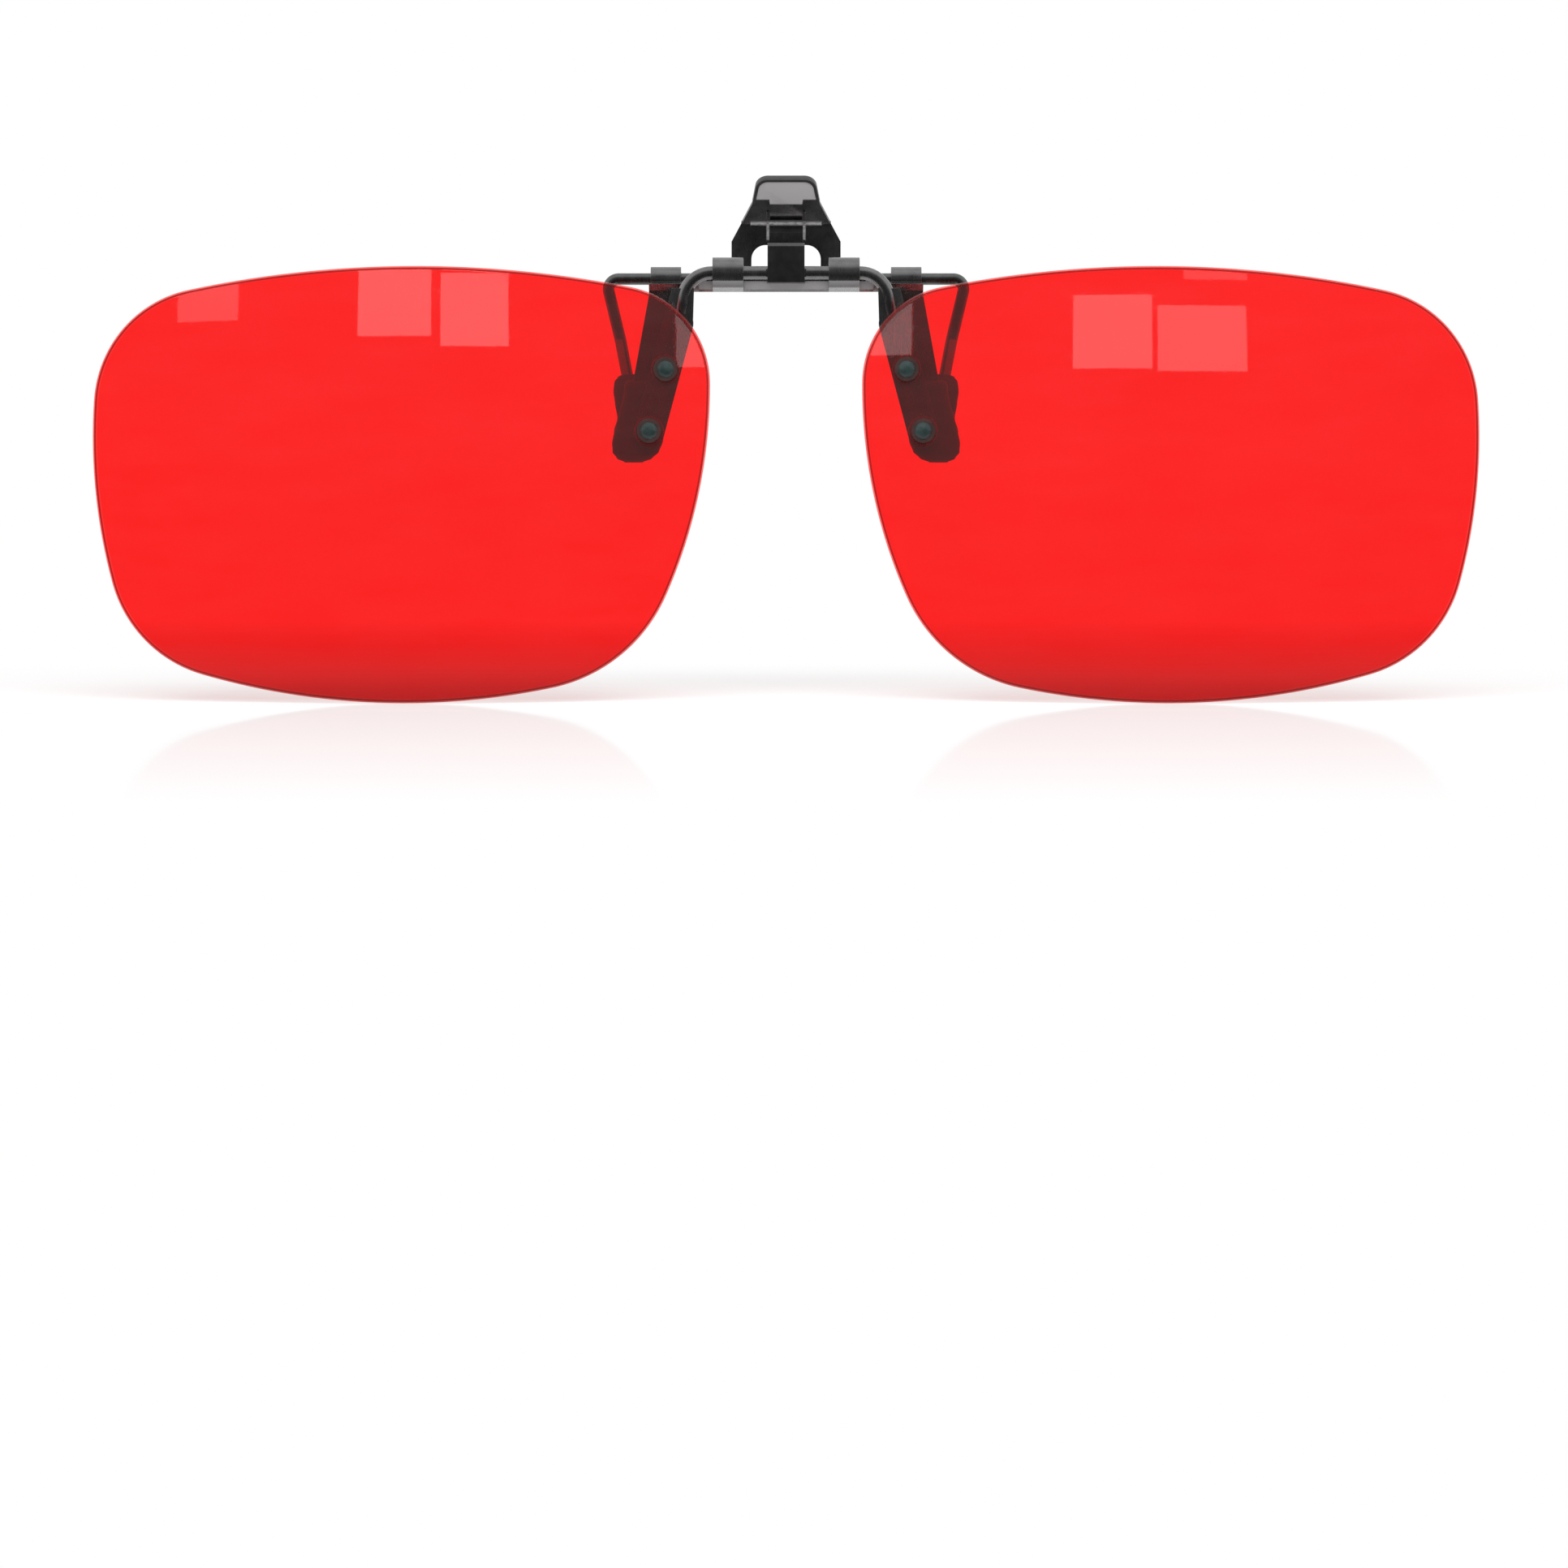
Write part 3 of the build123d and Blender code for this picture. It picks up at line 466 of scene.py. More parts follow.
def plate_front(n):
    """A painted highlight along the plate's front cut edge, dimmer on the knuckles, and painted shade in the
    gap above it under the rod.
    """
    split = n.add("ShaderNodeSeparateXYZ", Vector=n.place)
    across = n.math("ABSOLUTE", split.outputs["X"])
    up = split.outputs["Z"]
    middle = within(n, across, 0.0, EDGE_BAND_HALF_WIDTH)
    knuckle = within(n, across, KNUCKLE_X, KNUCKLE_HALF_WIDTH)
    # Painted highlight along the cut edge
    edge_highlight = n.math("MULTIPLY", within(n, up, EDGE_BAND_Z, EDGE_BAND_HALF_HEIGHT), middle)
    edge_highlight = n.math("MULTIPLY", edge_highlight, front_facing(n))
    # Painted shade in the gap under the rod
    gap = n.math("MULTIPLY", within(n, up, GAP_Z, GAP_HALF_HEIGHT), middle)
    gap = n.math("MULTIPLY", gap, n.math("SUBTRACT", 1.0, knuckle))
    # The painted highlight is dimmer on the knuckles, which stand further forward in the light
    highlight_tone = n.mix(knuckle, EDGE_HIGHLIGHT_TONE, KNUCKLE_HIGHLIGHT_TONE)
    return n.math("MAXIMUM", edge_highlight, gap), n.mix(edge_highlight, GAP_SHADE_TONE, highlight_tone)


SHEET = metal("gunmetal_sheet", 0.17, 0.22, 0.27, grain=(1, 0.2, 0.2), face=plate_front)
ROD = metal("gunmetal_rod", 0.17, 0.23, 0.25, grain=(1, 0.15, 0.15))
LEVER = metal("gunmetal_lever", 0.12, 0.16, 0.30, grain=(1, 1, 0.2), face=lever_front)
WIRE_METAL = metal("gunmetal_wire", 0.12, 0.17, 0.28, grain=(1, 0.2, 0.2), tint=(0.95, 1.0, 0.97))
SPRING = metal("spring_steel", 0.15, 0.20, 0.28, grain=(0.3, 1, 1))
LEAF = metal("leaf_steel", 0.09, 0.12, 0.34, grain=(1, 1, 0.2), wear=0.6)
RIVET = plastic("rivet_steel", (0.012, 0.022, 0.021, 1), (0.022, 0.038, 0.036, 1), 0.28, 0.35)
WASHER = plastic("washer_nylon", (0.030, 0.016, 0.015, 1), (0.045, 0.024, 0.022, 1), 0.60, 0.08)
BOOT = rubber("boot_rubber")
NYLON = plastic("nylon", (0.010, 0.010, 0.011, 1), (0.018, 0.018, 0.019, 1), 0.45)
CAP = plastic("cap_plastic", (0.018, 0.018, 0.019, 1), (0.030, 0.030, 0.031, 1), 0.38)
LENS_RED = tinted("red_lens", (1.0, 0.045, 0.04, 1), (0.95, 0.55, 0.55, 1), 0.016, 0.012)
# Painted shade: a dark red line round the front of the rim, standing in for the polished edge's dark internal
# reflection
LENS_EDGE_SHADE = tinted("red_lens_edge_shade", (0.45, 0.03, 0.03, 1), (0.35, 0.02, 0.02, 1), 0.15, 0.10)
# Painted highlight: a paler pink rim
LENS_RIM_HIGHLIGHT = tinted("red_lens_rim_highlight", (1.0, 0.42, 0.40, 1), (0.80, 0.20, 0.20, 1), 0.06, 0.10)
CLEAR = tinted("clear_plastic", (0.94, 0.95, 0.95, 1), (0.8, 0.82, 0.82, 1), 0.04, 0.06)


# ---------------------------------------------------------------- lenses

# Outline of the right lens in millimetres: where its sides would meet, clockwise from the top inner
# corner, how far each side bulges, the radius of the round at each corner, and the step along it
LENS_CORNERS = ((8.0, 38.7), (65.9, 38.05), (63.35, 4.95), (15.5, 3.35))
LENS_SAGITTAS = (4.0, 2.55, 4.1, 3.35)
LENS_CORNER_RADII = (9.5, 11.7, 12.5, 15.5)
OUTLINE_STEP = 0.55
FEWEST_ARC_STEPS = 4

LENS_THICKNESS = 1.1 * MM
LENS_BACK_RADIUS = 160.0 * MM
EDGE_ROUND = 0.33 * MM
# How far round the rim the painted dark line reaches
SHADE_LINE_END = 0.375
LENS_RINGS = 26
HEM_SHARES = (0.985, 0.997)
ROUND_STEPS = 8
LENS_APEX_X = 37.4 * MM
LENS_APEX_Z = 21.3 * MM
LENS_HOLE_RADIUS = 1.06 * MM
BORE_POINTS = 40

# Rivets through the lenses
HEAD_RADIUS = 0.85 * MM
HEAD_HEIGHT = 0.45 * MM
SHANK_RADIUS = 0.55 * MM
PEEN_RADIUS = 0.9 * MM
PEEN_HEIGHT = 0.25 * MM
PEEN_PROFILE = ((0.97, 0.0), (1.0, 0.35), (0.9, 0.8), (0.7, 1.0), (0.0, 1.0))
WASHER_HEIGHT = 0.35 * MM
ARM_HALF_THICKNESS = 0.45 * MM
LATHE_POINTS = 40
DOME_STEPS = 8


def side_circle(index):
    """Centre and radius of the arc between two corners, which bulges outwards."""
    a = Vector(LENS_CORNERS[index])
    b = Vector(LENS_CORNERS[(index + 1) % 4])
    sag = LENS_SAGITTAS[index]
    chord = b - a
    radius = (chord.length ** 2 / 4 + sag * sag) / (2 * sag)
    outward = Vector((-chord.y, chord.x)).normalized()
    return (a + b) / 2 - outward * (radius - sag), radius


def corner_circle(index):
    """Centre and radius of the round that touches both neighbouring arcs from inside."""
    (c1, r1), (c2, r2) = side_circle((index - 1) % 4), side_circle(index)
    radius = LENS_CORNER_RADII[index]
    a, b = r1 - radius, r2 - radius
    between = c2 - c1
    d = between.length
    along = (a * a - b * b + d * d) / (2 * d)
    off = math.sqrt(a * a - along * along)
    u = between / d
    v = Vector((-u.y, u.x))
    ends = (c1 + u * along + v * off, c1 + u * along - v * off)
    return min(ends, key=lambda p: (p - Vector(LENS_CORNERS[index])).length), radius


def arc_points(centre, radius, start, end):
    """Points along an arc run clockwise, its last point left out."""
    a0 = math.atan2(start.y - centre.y, start.x - centre.x)
    a1 = math.atan2(end.y - centre.y, end.x - centre.x)
    turn = (a0 - a1) % (2 * math.pi)
    count = max(FEWEST_ARC_STEPS, round(turn * radius / OUTLINE_STEP))
    points = []
    for k in range(count):
        angle = a0 - turn * k / count
        reach = Vector((math.cos(angle), math.sin(angle)))
        points.append((centre + reach * radius, reach))
    return points


def lens_outline():
    """Closed outline of the right lens as (point, outward normal), in millimetres."""
    touch = []
    for index in range(4):
        centre, radius = corner_circle(index)
        ends = []
        for circle_centre, circle_radius in (side_circle((index - 1) % 4), side_circle(index)):
            ends.append(circle_centre + (centre - circle_centre).normalized() * circle_radius)
        touch.append((centre, radius, ends[0], ends[1]))
    outline = []
    for index in range(4):
        centre, radius, first, second = touch[index]
        outline += arc_points(centre, radius, first, second)
        side_centre, side_radius = side_circle(index)
        outline += arc_points(side_centre, side_radius, second, touch[(index + 1) % 4][2])
    return outline


def fitted_outline(node):
    """The outline moved and scaled on to a CAD lens's own box."""
    low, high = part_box(node)
    mirror = node.startswith("left")
    outline = lens_outline()
    xs = [p.x for p, _ in outline]
    ys = [p.y for p, _ in outline]
    scale_x = (high.x - low.x) / (max(xs) - min(xs))
    scale_z = (high.z - low.z) / (max(ys) - min(ys))
    result = []
    for p, n in outline:
        x = (p.x - min(xs)) * scale_x
        z = low.z + (p.y - min(ys)) * scale_z
        point = Vector((high.x - x, z)) if mirror else Vector((low.x + x, z))
        normal = Vector((-n.x, n.y)) if mirror else n.copy()
        result.append((point, normal))
    return result


def rim_slot(first, second):
    """Material slot between two steps of the lens profile: 0 face, 1 dark line of painted shade round the
    front, 2 rim with a painted pink highlight.
    """
    if not second[0].endswith("round") and not first[0].endswith("round"):
        return 0
    if second[0] == "front_round" and second[1] <= SHADE_LINE_END:
        return 1
    return 2 if first[0].endswith("round") and second[0].endswith("round") else 0


def lens(side):
    """A spherical shell with a rounded polished rim, bored for its two rivets."""
    node = side + "_lens"
    low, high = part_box(node)
    front_radius = LENS_BACK_RADIUS + LENS_THICKNESS
    outline = fitted_outline(node)
    apex_x = LENS_APEX_X * sign(side)
    centre_y = low.y + front_radius

    def depth(point, radius):
        reach = math.hypot(point.x - apex_x, point.y - LENS_APEX_Z)
        return centre_y - math.sqrt(radius * radius - reach * reach)

    middle = sum((p for p, _ in outline), Vector((0, 0))) / len(outline)
    shares = [k / LENS_RINGS for k in range(1, LENS_RINGS)] + [*HEM_SHARES, 1.0]
    turns = [k / ROUND_STEPS for k in range(ROUND_STEPS + 1)]
    profile = [("front", share) for share in shares]
    profile += [("front_round", turn) for turn in turns[1:]]
    profile += [("back_round", turn) for turn in reversed(turns)]
    profile += [("back", share) for share in reversed(shares[:-1])]
    verts, faces, ids = [], [], []
    count = len(outline)
    for kind, t in profile:
        for point, normal in outline:
            rim = point - normal * EDGE_ROUND
            if kind in ("front", "back"):
                flat = middle + (rim - middle) * t
                radius = front_radius if kind == "front" else LENS_BACK_RADIUS
                y = depth(flat, radius)
            else:
                angle = t * math.pi / 2
                flat = rim + normal * EDGE_ROUND * math.sin(angle)
                sunk = EDGE_ROUND * (1 - math.cos(angle))
                y = depth(rim, front_radius) + sunk
                if kind == "back_round":
                    y = depth(rim, LENS_BACK_RADIUS) - sunk
            verts.append((flat.x, y, flat.y))
    for r in range(len(profile) - 1):
        slot = rim_slot(profile[r], profile[r + 1])
        for k in range(count):
            a, b = r * count + k, r * count + (k + 1) % count
            faces.append((a, b, b + count, a + count))
            ids.append(slot)
    for ring, radius in ((0, front_radius), (len(profile) - 1, LENS_BACK_RADIUS)):
        hub = len(verts)
        verts.append((middle.x, depth(middle, radius), middle.y))
        for k in range(count):
            faces.append((hub, ring * count + (k + 1) % count, ring * count + k))
            ids.append(0)
    obj = new_piece(node + "_shell", verts, faces, None, ids, (LENS_RED, LENS_EDGE_SHADE, LENS_RIM_HIGHLIGHT))
    fix_normals(obj)
    for x, z in rivet_places(side):
        bore(obj, x, z, LENS_HOLE_RADIUS, low.y - MM, high.y + MM)
    shade(obj, TURNED_CREASE)
    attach(obj, "lens_carrier")
    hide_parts(node)


def rivet_places(side):
    """X and Z of the two rivets of one lens, from the box round their heads."""
    low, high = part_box(side + "_lens_rivets")
    inner = min(abs(low.x), abs(high.x)) + PEEN_RADIUS
    outer = max(abs(low.x), abs(high.x)) - PEEN_RADIUS
    return ((sign(side) * inner, high.z - PEEN_RADIUS), (sign(side) * outer, low.z + PEEN_RADIUS))


def bore(obj, x, z, radius, front, back):
    """Cuts a round hole through a piece along Y."""
    bm = bmesh.new()
    bmesh.ops.create_cone(
        bm, cap_ends=True, segments=BORE_POINTS, radius1=radius, radius2=radius, depth=back - front,
        matrix=Matrix.Translation((x, (front + back) / 2, z)) @ Matrix.Rotation(math.pi / 2, 4, "X"))
    mesh = bpy.data.meshes.new("cutter")
    bm.to_mesh(mesh)
    bm.free()
    cutter = bpy.data.objects.new("cutter", mesh)
    bpy.context.scene.collection.objects.link(cutter)
    modifier = obj.modifiers.new("hole", "BOOLEAN")
    modifier.operation = "DIFFERENCE"
    modifier.solver = "EXACT"
    modifier.object = cutter
    bpy.context.view_layer.update()
    graph = bpy.context.evaluated_depsgraph_get()
    result = bpy.data.meshes.new_from_object(obj.evaluated_get(graph))
    obj.modifiers.clear()
    old = obj.data
    obj.data = result
    bpy.data.meshes.remove(old)
    bpy.data.objects.remove(cutter)


def lathe(name, centres, profiles, body, material):
    """One turned solid at each (x, z) centre, from its own list of (radius, y) steps, front to back."""
    verts, faces = [], []
    for (x, z), steps in zip(centres, profiles):
        base = len(verts)
        verts.append((x, steps[0][1], z))
        for radius, y in steps[1:-1]:
            for k in range(LATHE_POINTS):
                angle = 2 * math.pi * k / LATHE_POINTS
                verts.append((x + radius * math.cos(angle), y, z + radius * math.sin(angle)))
        verts.append((x, steps[-1][1], z))
        last = len(verts) - 1
        rings = len(steps) - 2
        for k in range(LATHE_POINTS):
            follow = (k + 1) % LATHE_POINTS
            faces.append((base, base + 1 + k, base + 1 + follow))
            top = base + 1 + (rings - 1) * LATHE_POINTS
            faces.append((last, top + follow, top + k))
            for r in range(rings - 1):
                a = base + 1 + r * LATHE_POINTS
                faces.append((a + k, a + LATHE_POINTS + k, a + LATHE_POINTS + follow, a + follow))
    obj = new_piece(name, verts, faces, body, materials=(material,))
    fix_normals(obj)
    shade(obj, TURNED_CREASE)
    return obj


def rivets(side):
    """Domed rivets of one lens, with a rolled peen behind the arm."""
    node = side + "_lens_rivets"
    arm_back = FLIP.y + ARM_HALF_THICKNESS
    front_radius = LENS_BACK_RADIUS + LENS_THICKNESS
    centre_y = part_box(side + "_lens")[0].y + front_radius
    ball = (HEAD_HEIGHT ** 2 + HEAD_RADIUS ** 2) / (2 * HEAD_HEIGHT)
    profiles = []
    for x, z in rivet_places(side):
        reach = math.hypot(x - LENS_APEX_X * sign(side), z - LENS_APEX_Z)
        seat = centre_y - math.sqrt(front_radius ** 2 - reach ** 2) - WASHER_HEIGHT
        steps = [(0.0, seat - HEAD_HEIGHT)]
        for k in range(1, DOME_STEPS + 1):
            radius = HEAD_RADIUS * math.sin(math.pi / 2 * k / DOME_STEPS)
            steps.append((radius, seat - HEAD_HEIGHT + ball - math.sqrt(ball ** 2 - radius ** 2)))
        steps += [(SHANK_RADIUS, seat), (SHANK_RADIUS, arm_back)]
        for radius, height in PEEN_PROFILE:
            steps.append((PEEN_RADIUS * radius, arm_back + PEEN_HEIGHT * height))
        profiles.append(steps)
    obj = lathe(node + "_turned", rivet_places(side), profiles, "lens_carrier", RIVET)
    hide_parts(node)


for side in SIDES:
    lens(side)
    refined(side + "_lens_bushings", CLEAR, "clear_plastic", 0.00006, 2)
    refined(side + "_lens_washers", WASHER, "nylon", 0.00009, 3)
    rivets(side)


# ---------------------------------------------------------------- metal parts

# Node, material, slot, width of the rounded edges and the steps across them
FINISHED = (
    ("lens_bridge", ROD, "gunmetal_rod", 0.00010, 3),
    ("clamp_frame", SHEET, "gunmetal_sheet", 0.00010, 3),
    ("detent_leaf", LEAF, "spring_steel", 0.00005, 2),
    ("leaf_rivets", RIVET, "rivet_steel", 0.00005, 2),
    ("lug_bushes", NYLON, "nylon", 0.00005, 2),
    ("thumb_lever", LEVER, "gunmetal_lever", 0.00008, 3),
    ("thumb_cap", CAP, "cap_plastic", 0.00006, 2),
    ("rear_wire", WIRE_METAL, "gunmetal_wire", 0.00008, 2),
)

for row in FINISHED:
    refined(*row)
for side in SIDES:
    spring = refined(side + "_torsion_spring", SPRING, "spring_steel", 0.0, 0, ride=False)
    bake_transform(spring)


# ---------------------------------------------------------------- rubber boots

RING_POINTS = 36
FRONT_SQUARENESS = 3.6
REAR_SQUARENESS = 3.0
FRONT_STEPS = 40
FOOT_STEPS = 30
BEND_STEPS = 10
NECK_STEPS = 14
LEG_SLOPE = 0.1855
REAR_HALF_THICKNESS = 1.15 * MM
ANKLE_ABOVE_PAD = 3.0 * MM
KNEE_ABOVE_ANKLE = 5.2 * MM
ANKLE_X_BEYOND_PAD = 0.3 * MM
SLEEVE_LENGTH = 1.9 * MM
BEND_REACH = 1.3 * MM

# Half width and half depth of each boot in millimetres, by share of the way from its foot to its mouth
FRONT_WIDTH = (
    (0.0, 0.9), (0.05, 1.75), (0.13, 2.28), (0.25, 2.48), (0.88, 2.20), (0.93, 2.30), (0.98, 2.22),
    (1.0, 1.95))
FRONT_DEPTH = (
    (0.0, 0.45), (0.04, 0.82), (0.10, 1.03), (0.88, 0.98), (0.93, 1.05), (0.98, 1.0), (1.0, 0.8))
REAR_WIDTH = (
    (0.0, 0.85), (0.045, 1.5), (0.12, 1.85), (0.21, 1.95), (0.34, 1.85), (0.51, 1.45), (0.68, 1.62),
    (0.82, 1.74), (0.92, 1.66), (0.975, 1.4), (1.0, 1.1))
REAR_DEPTH = (
    (0.0, 0.45), (0.045, 0.85), (0.11, 1.12), (0.42, 1.12), (0.62, 1.0), (0.92, 0.95), (0.975, 0.88),
    (1.0, 0.7))


def mount(name):
    return Vector(next(m for m in frame["record"]["mounts"] if m["name"] == name)["pos_m"])


def interpolate(table, share):
    """A smooth value between the (share, value) steps of a short table."""
    for (s0, v0), (s1, v1) in zip(table, table[1:]):
        if share <= s1:
            t = (share - s0) / (s1 - s0)
            t = t * t * (3 - 2 * t)
            return v0 + (v1 - v0) * t
    return table[-1][1]


def boot(node, body, path, half_width, half_depth, squareness):
    """A closed rubber sleeve lofted along a path, its half width and half depth read from two tables."""
    lengths = [0.0]
    for a, b in zip(path, path[1:]):
        lengths.append(lengths[-1] + (b - a).length)
    verts, faces = [], []
    for index, centre in enumerate(path):
        share = lengths[index] / lengths[-1]
        before, after = path[max(index - 1, 0)], path[min(index + 1, len(path) - 1)]
        along = (after - before).normalized()
        across = Vector((1, 0, 0))
        depth = along.cross(across).normalized()
        width, thick = interpolate(half_width, share) * MM, interpolate(half_depth, share) * MM
        power = 2.0 / squareness
        for k in range(RING_POINTS):
            angle = 2 * math.pi * k / RING_POINTS
            c, d = math.cos(angle), math.sin(angle)
            u = math.copysign(abs(c) ** power, c) * width
            v = math.copysign(abs(d) ** power, d) * thick
            verts.append(centre + across * u + depth * v)
    rings = len(path)
    for r in range(rings - 1):
        for k in range(RING_POINTS):
            a, b = r * RING_POINTS + k, r * RING_POINTS + (k + 1) % RING_POINTS
            faces.append((a, b, b + RING_POINTS, a + RING_POINTS))
    for ring in (0, rings - 1):
        hub = len(verts)
        verts.append(path[ring])
        for k in range(RING_POINTS):
            faces.append((hub, ring * RING_POINTS + (k + 1) % RING_POINTS, ring * RING_POINTS + k))
    obj = new_piece(node + "_moulded", verts, faces, body, materials=(BOOT,))
    fix_normals(obj)
    shade(obj, RUBBER_CREASE)
    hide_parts(node)


def ease(t):
    """Even steps drawn closer together at both ends."""
    return (1 - math.cos(math.pi * t)) / 2


def ease_in(t):
    """Even steps drawn closer together at the start."""
    return 1 - math.cos(math.pi * t / 2)


def ease_out(t):
    """Even steps drawn closer together at the end."""
    return math.sin(math.pi * t / 2)


def front_boot(side):
    """Sleeve over the foot of a front leg: straight, splayed, with a small lip round its mouth."""
    node = side + "_front_boot"
    low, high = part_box(node)
    pad = mount(side + "_front_pad")
    middle_y = (low.y + high.y) / 2
    path = []
    for k in range(FRONT_STEPS + 1):
        share = ease(k / FRONT_STEPS)
        z = low.z + (high.z - low.z) * share
        path.append(Vector((pad.x + sign(side) * LEG_SLOPE * (pad.z - z), middle_y, z)))
    boot(node, "clamp_frame", path, FRONT_WIDTH, FRONT_DEPTH, FRONT_SQUARENESS)


def rear_boot(side):
    """Sleeve over the toe of the rear wire: flat pad, narrow waist, then a rounded neck up the bent wire."""
    node = side + "_rear_boot"
    low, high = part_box(node)
    pad = mount(side + "_rear_pad")
    toe_y = pad.y + REAR_HALF_THICKNESS
    ankle = Vector((pad.x + sign(side) * ANKLE_X_BEYOND_PAD, toe_y, pad.z + ANKLE_ABOVE_PAD))
    foot = Vector((pad.x, toe_y, low.z))
    up_the_wire = Vector((0, WIRE.y - toe_y, KNEE_ABOVE_ANKLE)).normalized()
    leave = ankle + (foot - ankle).normalized() * BEND_REACH
    meet = ankle + up_the_wire * BEND_REACH
    end = ankle + up_the_wire * SLEEVE_LENGTH
    path = []
    for k in range(FOOT_STEPS + 1):
        path.append(foot.lerp(leave, ease_in(k / FOOT_STEPS)))
    for k in range(1, BEND_STEPS + 1):
        t = k / BEND_STEPS
        path.append(leave.lerp(ankle, t).lerp(ankle.lerp(meet, t), t))
    for k in range(1, NECK_STEPS + 1):
        path.append(meet.lerp(end, ease_out(k / NECK_STEPS)))
    boot(node, "clamp_lever", path, REAR_WIDTH, REAR_DEPTH, REAR_SQUARENESS)


for side in SIDES:
    front_boot(side)
    rear_boot(side)


# ---------------------------------------------------------------- stage, light and camera

# Floor: its gloss dies away in front, it fades to white all round, and mirrors see its front part dark
FLOOR_HALF = 3.0
FLOOR_DROP = 0.00002
FLOOR_TONES = ((0.90, 0.90, 0.90, 1), (0.92, 0.92, 0.92, 1))
FLOOR_ROUGHNESS = (0.04, 0.08)
FLOOR_GLOSS = 0.22
FLOOR_GLOSS_REACH = 0.12
FRONT_WHITE_REACH = 0.02
FLOOR_FADE = (0.10, 0.20)
BACK_FADE = (0.0, 0.055)
CARD_LIGHT = 0.05
CARD_START = (0.016, 0.030)

# Studio: each ramp has the two ends of a direction or noise value, and the light at those ends
FRONT_RAMP = (-0.86, -0.45, 0.12, 1.0)
UP_RAMP = (0.50, 0.85, 0.0, 1.0)
PATCH_RAMP = (0.3, 0.7, 0.75, 1.2)
PATCH_STRETCH = (1.2, 1.0, 6.0)
PATCH_SCALE = 3.0
DIFFUSE_SHARE = 0.35

KEY_PLACE = (0.0, -0.75, 0.60)
KEY_SIZE = (1.2, 0.8)
KEY_AIM = (0, 0, 0.02)
KEY_WATTS = 16.8

CAMERA_PLACE = (0.0, -0.6, 0.041)
CAMERA_AIM = (-0.2 * MM, -6.0 * MM, -7.97 * MM)
CAMERA_CLIP = (0.05, 20.0)
FRAME_WIDTH = 152.9 * MM
SENSOR_MM = 36.0

# Window panes and soft boxes that each lens mirrors: X and Z centre, width and height, brightness
MIRRORED = {
    "left": (
        (-0.108, 0.255, 0.108, 0.100, 1.0),
        (0.010, 0.245, 0.100, 0.110, 1.0),
        (-0.397, 0.284, 0.100, 0.102, 0.60),
        (0.360, 0.314, 0.086, 0.300, 0.75),
    ),
    "right": (
        (0.012, 0.212, 0.116, 0.110, 0.9),
        (0.144, 0.202, 0.132, 0.098, 0.8),
        (0.165, 0.300, 0.095, 0.020, 0.5),
        (-0.357, 0.332, 0.130, 0.300, 0.85),
    ),
}
MIRRORED_FORWARD = 1.0
PANE_RADIANCE = 6.2


def emitter(name, centre, size, aim, energy, only=None):
    """A soft area light, hidden from the camera. With only, just those pieces are lit and mirror it."""
    data = bpy.data.lights.new(name, "AREA")
    data.shape = "RECTANGLE"
    data.size, data.size_y = size
    data.energy = energy
    obj = bpy.data.objects.new(name, data)
    bpy.context.scene.collection.objects.link(obj)
    obj.location = centre
    direction = Vector(aim) - Vector(centre)
    obj.rotation_euler = direction.to_track_quat("-Z", "Y").to_euler()
    obj.visible_camera = False
    obj.visible_glossy = bool(only)
    if only:
        group = bpy.data.collections.new(name + "_receivers")
        for piece in only:
            group.objects.link(piece)
        obj.light_linking.receiver_collection = group


def floor():
    """A pale glossy floor that fades into the white of the backdrop and looks dark in front to mirrors."""
    n = Nodes("floor")
    cloud = n.noise(*FLOOR_CLOUD)
    base = n.add("ShaderNodeBsdfDiffuse", Color=n.mix(n.spread(cloud), *FLOOR_TONES))
    rough = n.spread(cloud, *FLOOR_ROUGHNESS)
    mirror = n.add("ShaderNodeBsdfGlossy", Color=WHITE, Roughness=rough)
    white = n.add("ShaderNodeEmission", Color=WHITE, Strength=1.0)
    dark = n.add("ShaderNodeEmission", Color=WHITE, Strength=CARD_LIGHT)
    split = n.add("ShaderNodeSeparateXYZ", Vector=n.place)
    forward = n.math("MULTIPLY", split.outputs["Y"], -1.0)
    reach = n.add("ShaderNodeVectorMath", Vector=n.place)
    reach.operation = "LENGTH"
    whole = n.mix_shaders(n.remap(forward, 0.0, FRONT_WHITE_REACH, 0.0, 1.0), base, white)
    whole = n.mix_shaders(n.remap(forward, 0.0, FLOOR_GLOSS_REACH, FLOOR_GLOSS, 0.0), whole, mirror)
    fade = n.remap(reach.outputs["Value"], *FLOOR_FADE, 0.0, 1.0)
    behind = n.remap(split.outputs["Y"], *BACK_FADE, 0.0, 1.0)
    whole = n.mix_shaders(n.math("MAXIMUM", fade, behind), whole, white)
    mirrored = n.tree.nodes.new("ShaderNodeLightPath").outputs["Is Glossy Ray"]
    card = n.math("MULTIPLY", mirrored, n.remap(forward, *CARD_START, 0.0, 1.0))
    material = n.finish(n.mix_shaders(card, whole, dark).outputs[0])
    mesh = bpy.data.meshes.new("floor")
    corners = [(x * FLOOR_HALF, y * FLOOR_HALF, 0) for x, y in ((-1, -1), (1, -1), (1, 1), (-1, 1))]
    mesh.from_pydata(corners, [], [(0, 1, 2, 3)])
    obj = bpy.data.objects.new("floor", mesh)
    bpy.context.scene.collection.objects.link(obj)
    mesh.materials.append(material)
    obj.location.z = -FLOOR_DROP


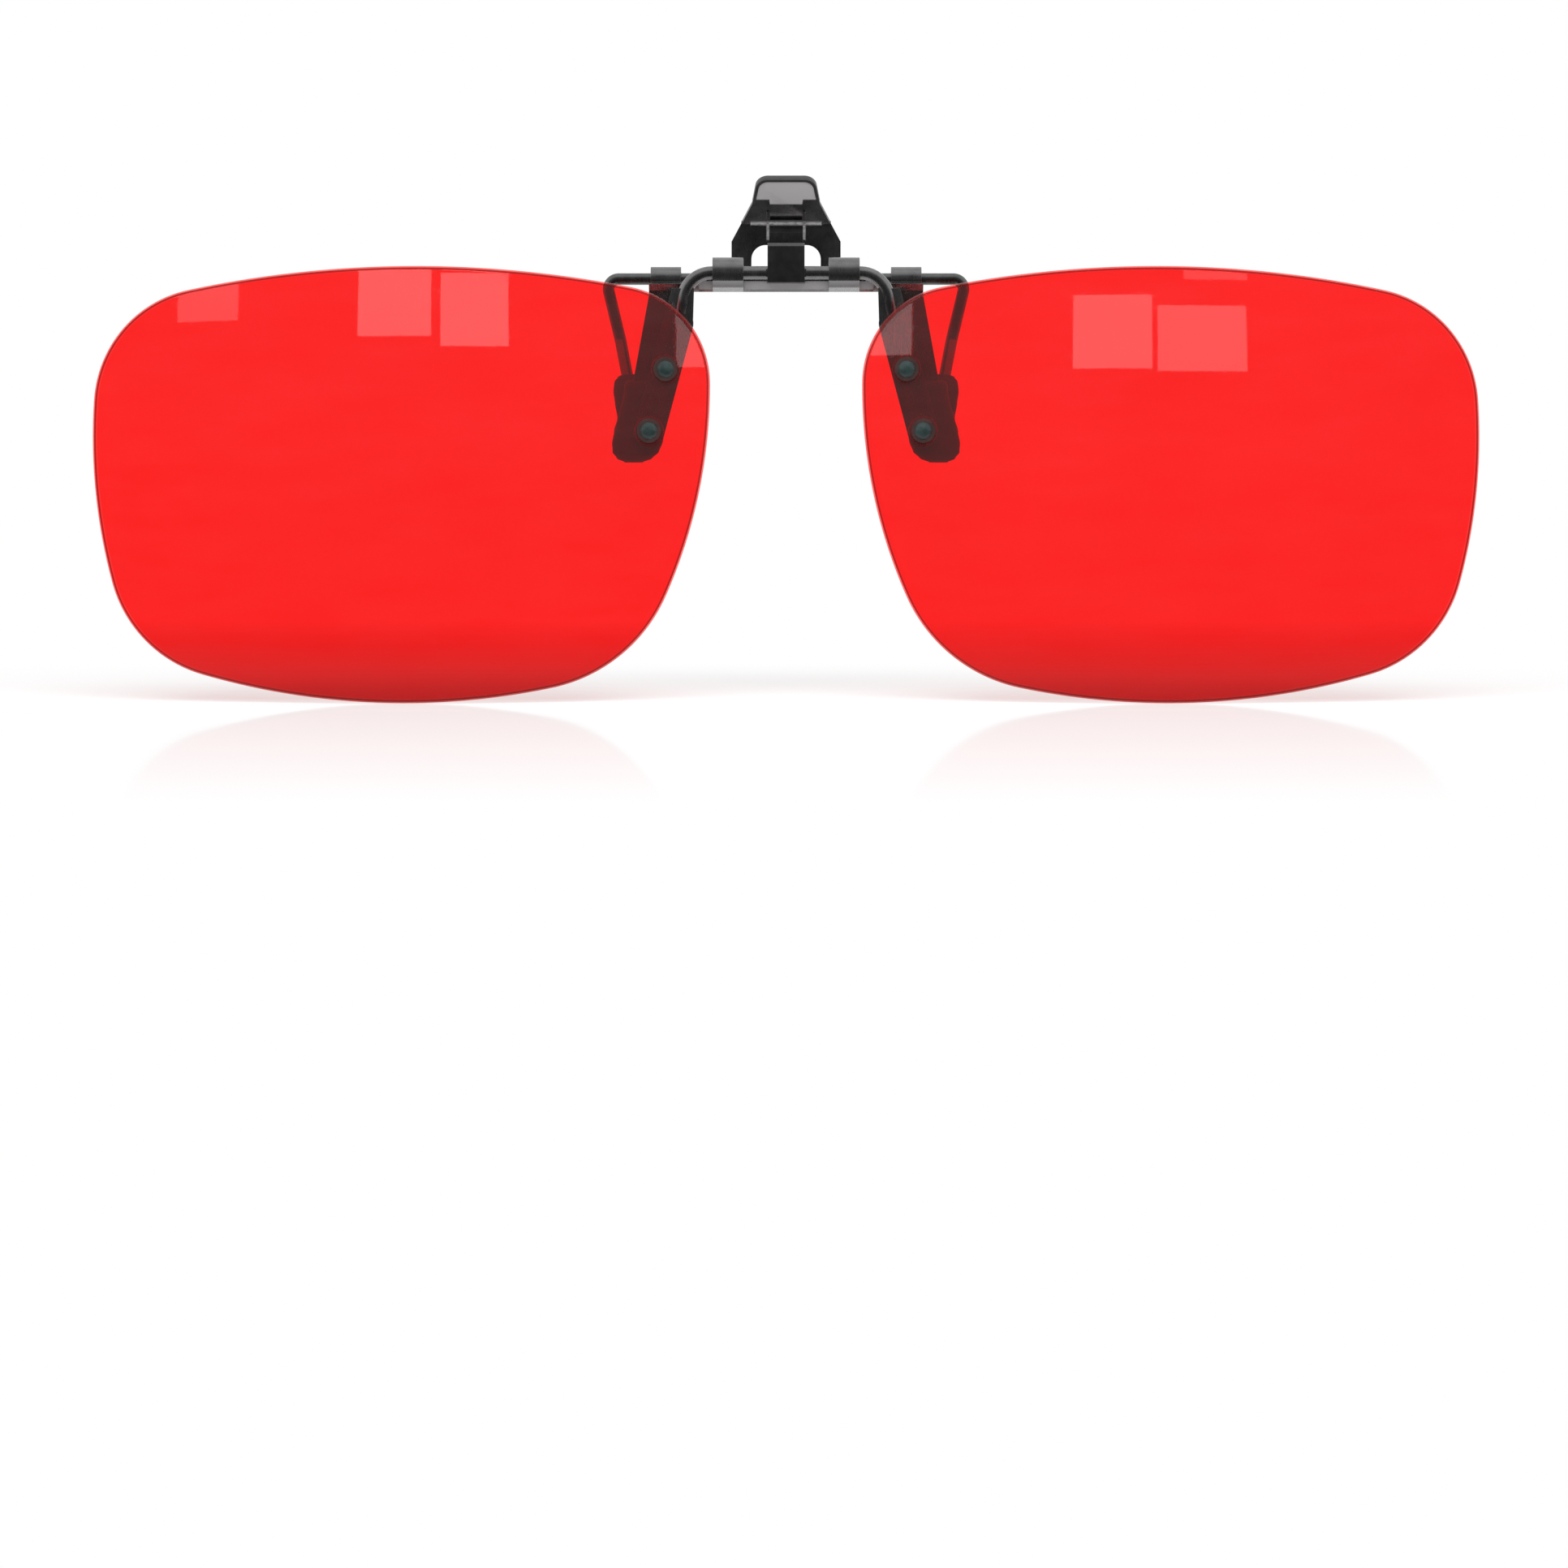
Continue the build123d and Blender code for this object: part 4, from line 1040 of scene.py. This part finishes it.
def world():
    """White to the camera; to everything else a studio, bright above, behind and beside, dim in front."""
    w = bpy.data.worlds.new("studio")
    bpy.context.scene.world = w
    w.use_nodes = True
    tree = w.node_tree
    tree.nodes.clear()

    def add(kind, operation=None):
        node = tree.nodes.new(kind)
        if operation:
            node.operation = operation
        return node

    def ramp(value, numbers):
        node = add("ShaderNodeMapRange")
        tree.links.new(value, node.inputs[0])
        for socket, number in zip(node.inputs[1:5], numbers):
            socket.default_value = number
        return node.outputs[0]

    def join(operation, a, b):
        node = add("ShaderNodeMath", operation)
        for socket, value in zip(node.inputs, (a, b)):
            if isinstance(value, bpy.types.NodeSocket):
                tree.links.new(value, socket)
            else:
                socket.default_value = value
        return node.outputs[0]

    out = add("ShaderNodeOutputWorld")
    coord = add("ShaderNodeTexCoord").outputs["Generated"]
    split = add("ShaderNodeSeparateXYZ")
    tree.links.new(coord, split.inputs[0])
    front = ramp(split.outputs["Y"], FRONT_RAMP)
    up = ramp(split.outputs["Z"], UP_RAMP)
    stretch = add("ShaderNodeMapping")
    tree.links.new(coord, stretch.inputs[0])
    stretch.inputs["Scale"].default_value = PATCH_STRETCH
    noise = add("ShaderNodeTexNoise")
    tree.links.new(stretch.outputs[0], noise.inputs["Vector"])
    noise.inputs["Scale"].default_value = PATCH_SCALE
    room = join("MULTIPLY", join("MAXIMUM", front, up), ramp(noise.outputs["Fac"], PATCH_RAMP))
    path = add("ShaderNodeLightPath")
    room = join("MULTIPLY", room, ramp(path.outputs["Is Diffuse Ray"], (0.0, 1.0, 1.0, DIFFUSE_SHARE)))
    studio = add("ShaderNodeBackground")
    studio.inputs["Color"].default_value = WHITE
    tree.links.new(room, studio.inputs["Strength"])
    seen = add("ShaderNodeBackground")
    seen.inputs["Color"].default_value = WHITE
    seen.inputs["Strength"].default_value = 1.0
    mix = add("ShaderNodeMixShader")
    tree.links.new(path.outputs["Is Camera Ray"], mix.inputs[0])
    tree.links.new(studio.outputs[0], mix.inputs[1])
    tree.links.new(seen.outputs[0], mix.inputs[2])
    tree.links.new(mix.outputs[0], out.inputs[0])


def mirrored_panes():
    """Lights that only the lens fronts mirror."""
    for side, panes in MIRRORED.items():
        receivers = [bpy.data.objects[side + "_lens_shell"]]
        for index, (x, z, width, height, share) in enumerate(panes):
            name = f"pane_{side}_{index}"
            energy = PANE_RADIANCE * share * width * height * math.pi
            emitter(name, (x, -MIRRORED_FORWARD, z), (width, height), (x, 0, z), energy, receivers)


def camera():
    """Long lens at the height of the clamp, with the object in the upper half of the frame."""
    eye = Vector(CAMERA_PLACE)
    aim = Vector(CAMERA_AIM)
    data = bpy.data.cameras.new("camera")
    data.sensor_width = SENSOR_MM
    data.lens = SENSOR_MM * (aim - eye).length / FRAME_WIDTH
    data.clip_start, data.clip_end = CAMERA_CLIP
    obj = bpy.data.objects.new("camera", data)
    bpy.context.scene.collection.objects.link(obj)
    obj.location = eye
    obj.rotation_euler = (aim - eye).to_track_quat("-Z", "Y").to_euler()
    bpy.context.scene.camera = obj


world()
floor()
emitter("key", KEY_PLACE, KEY_SIZE, KEY_AIM, KEY_WATTS)
mirrored_panes()
camera()
bpy.context.scene.view_settings.view_transform = "Standard"
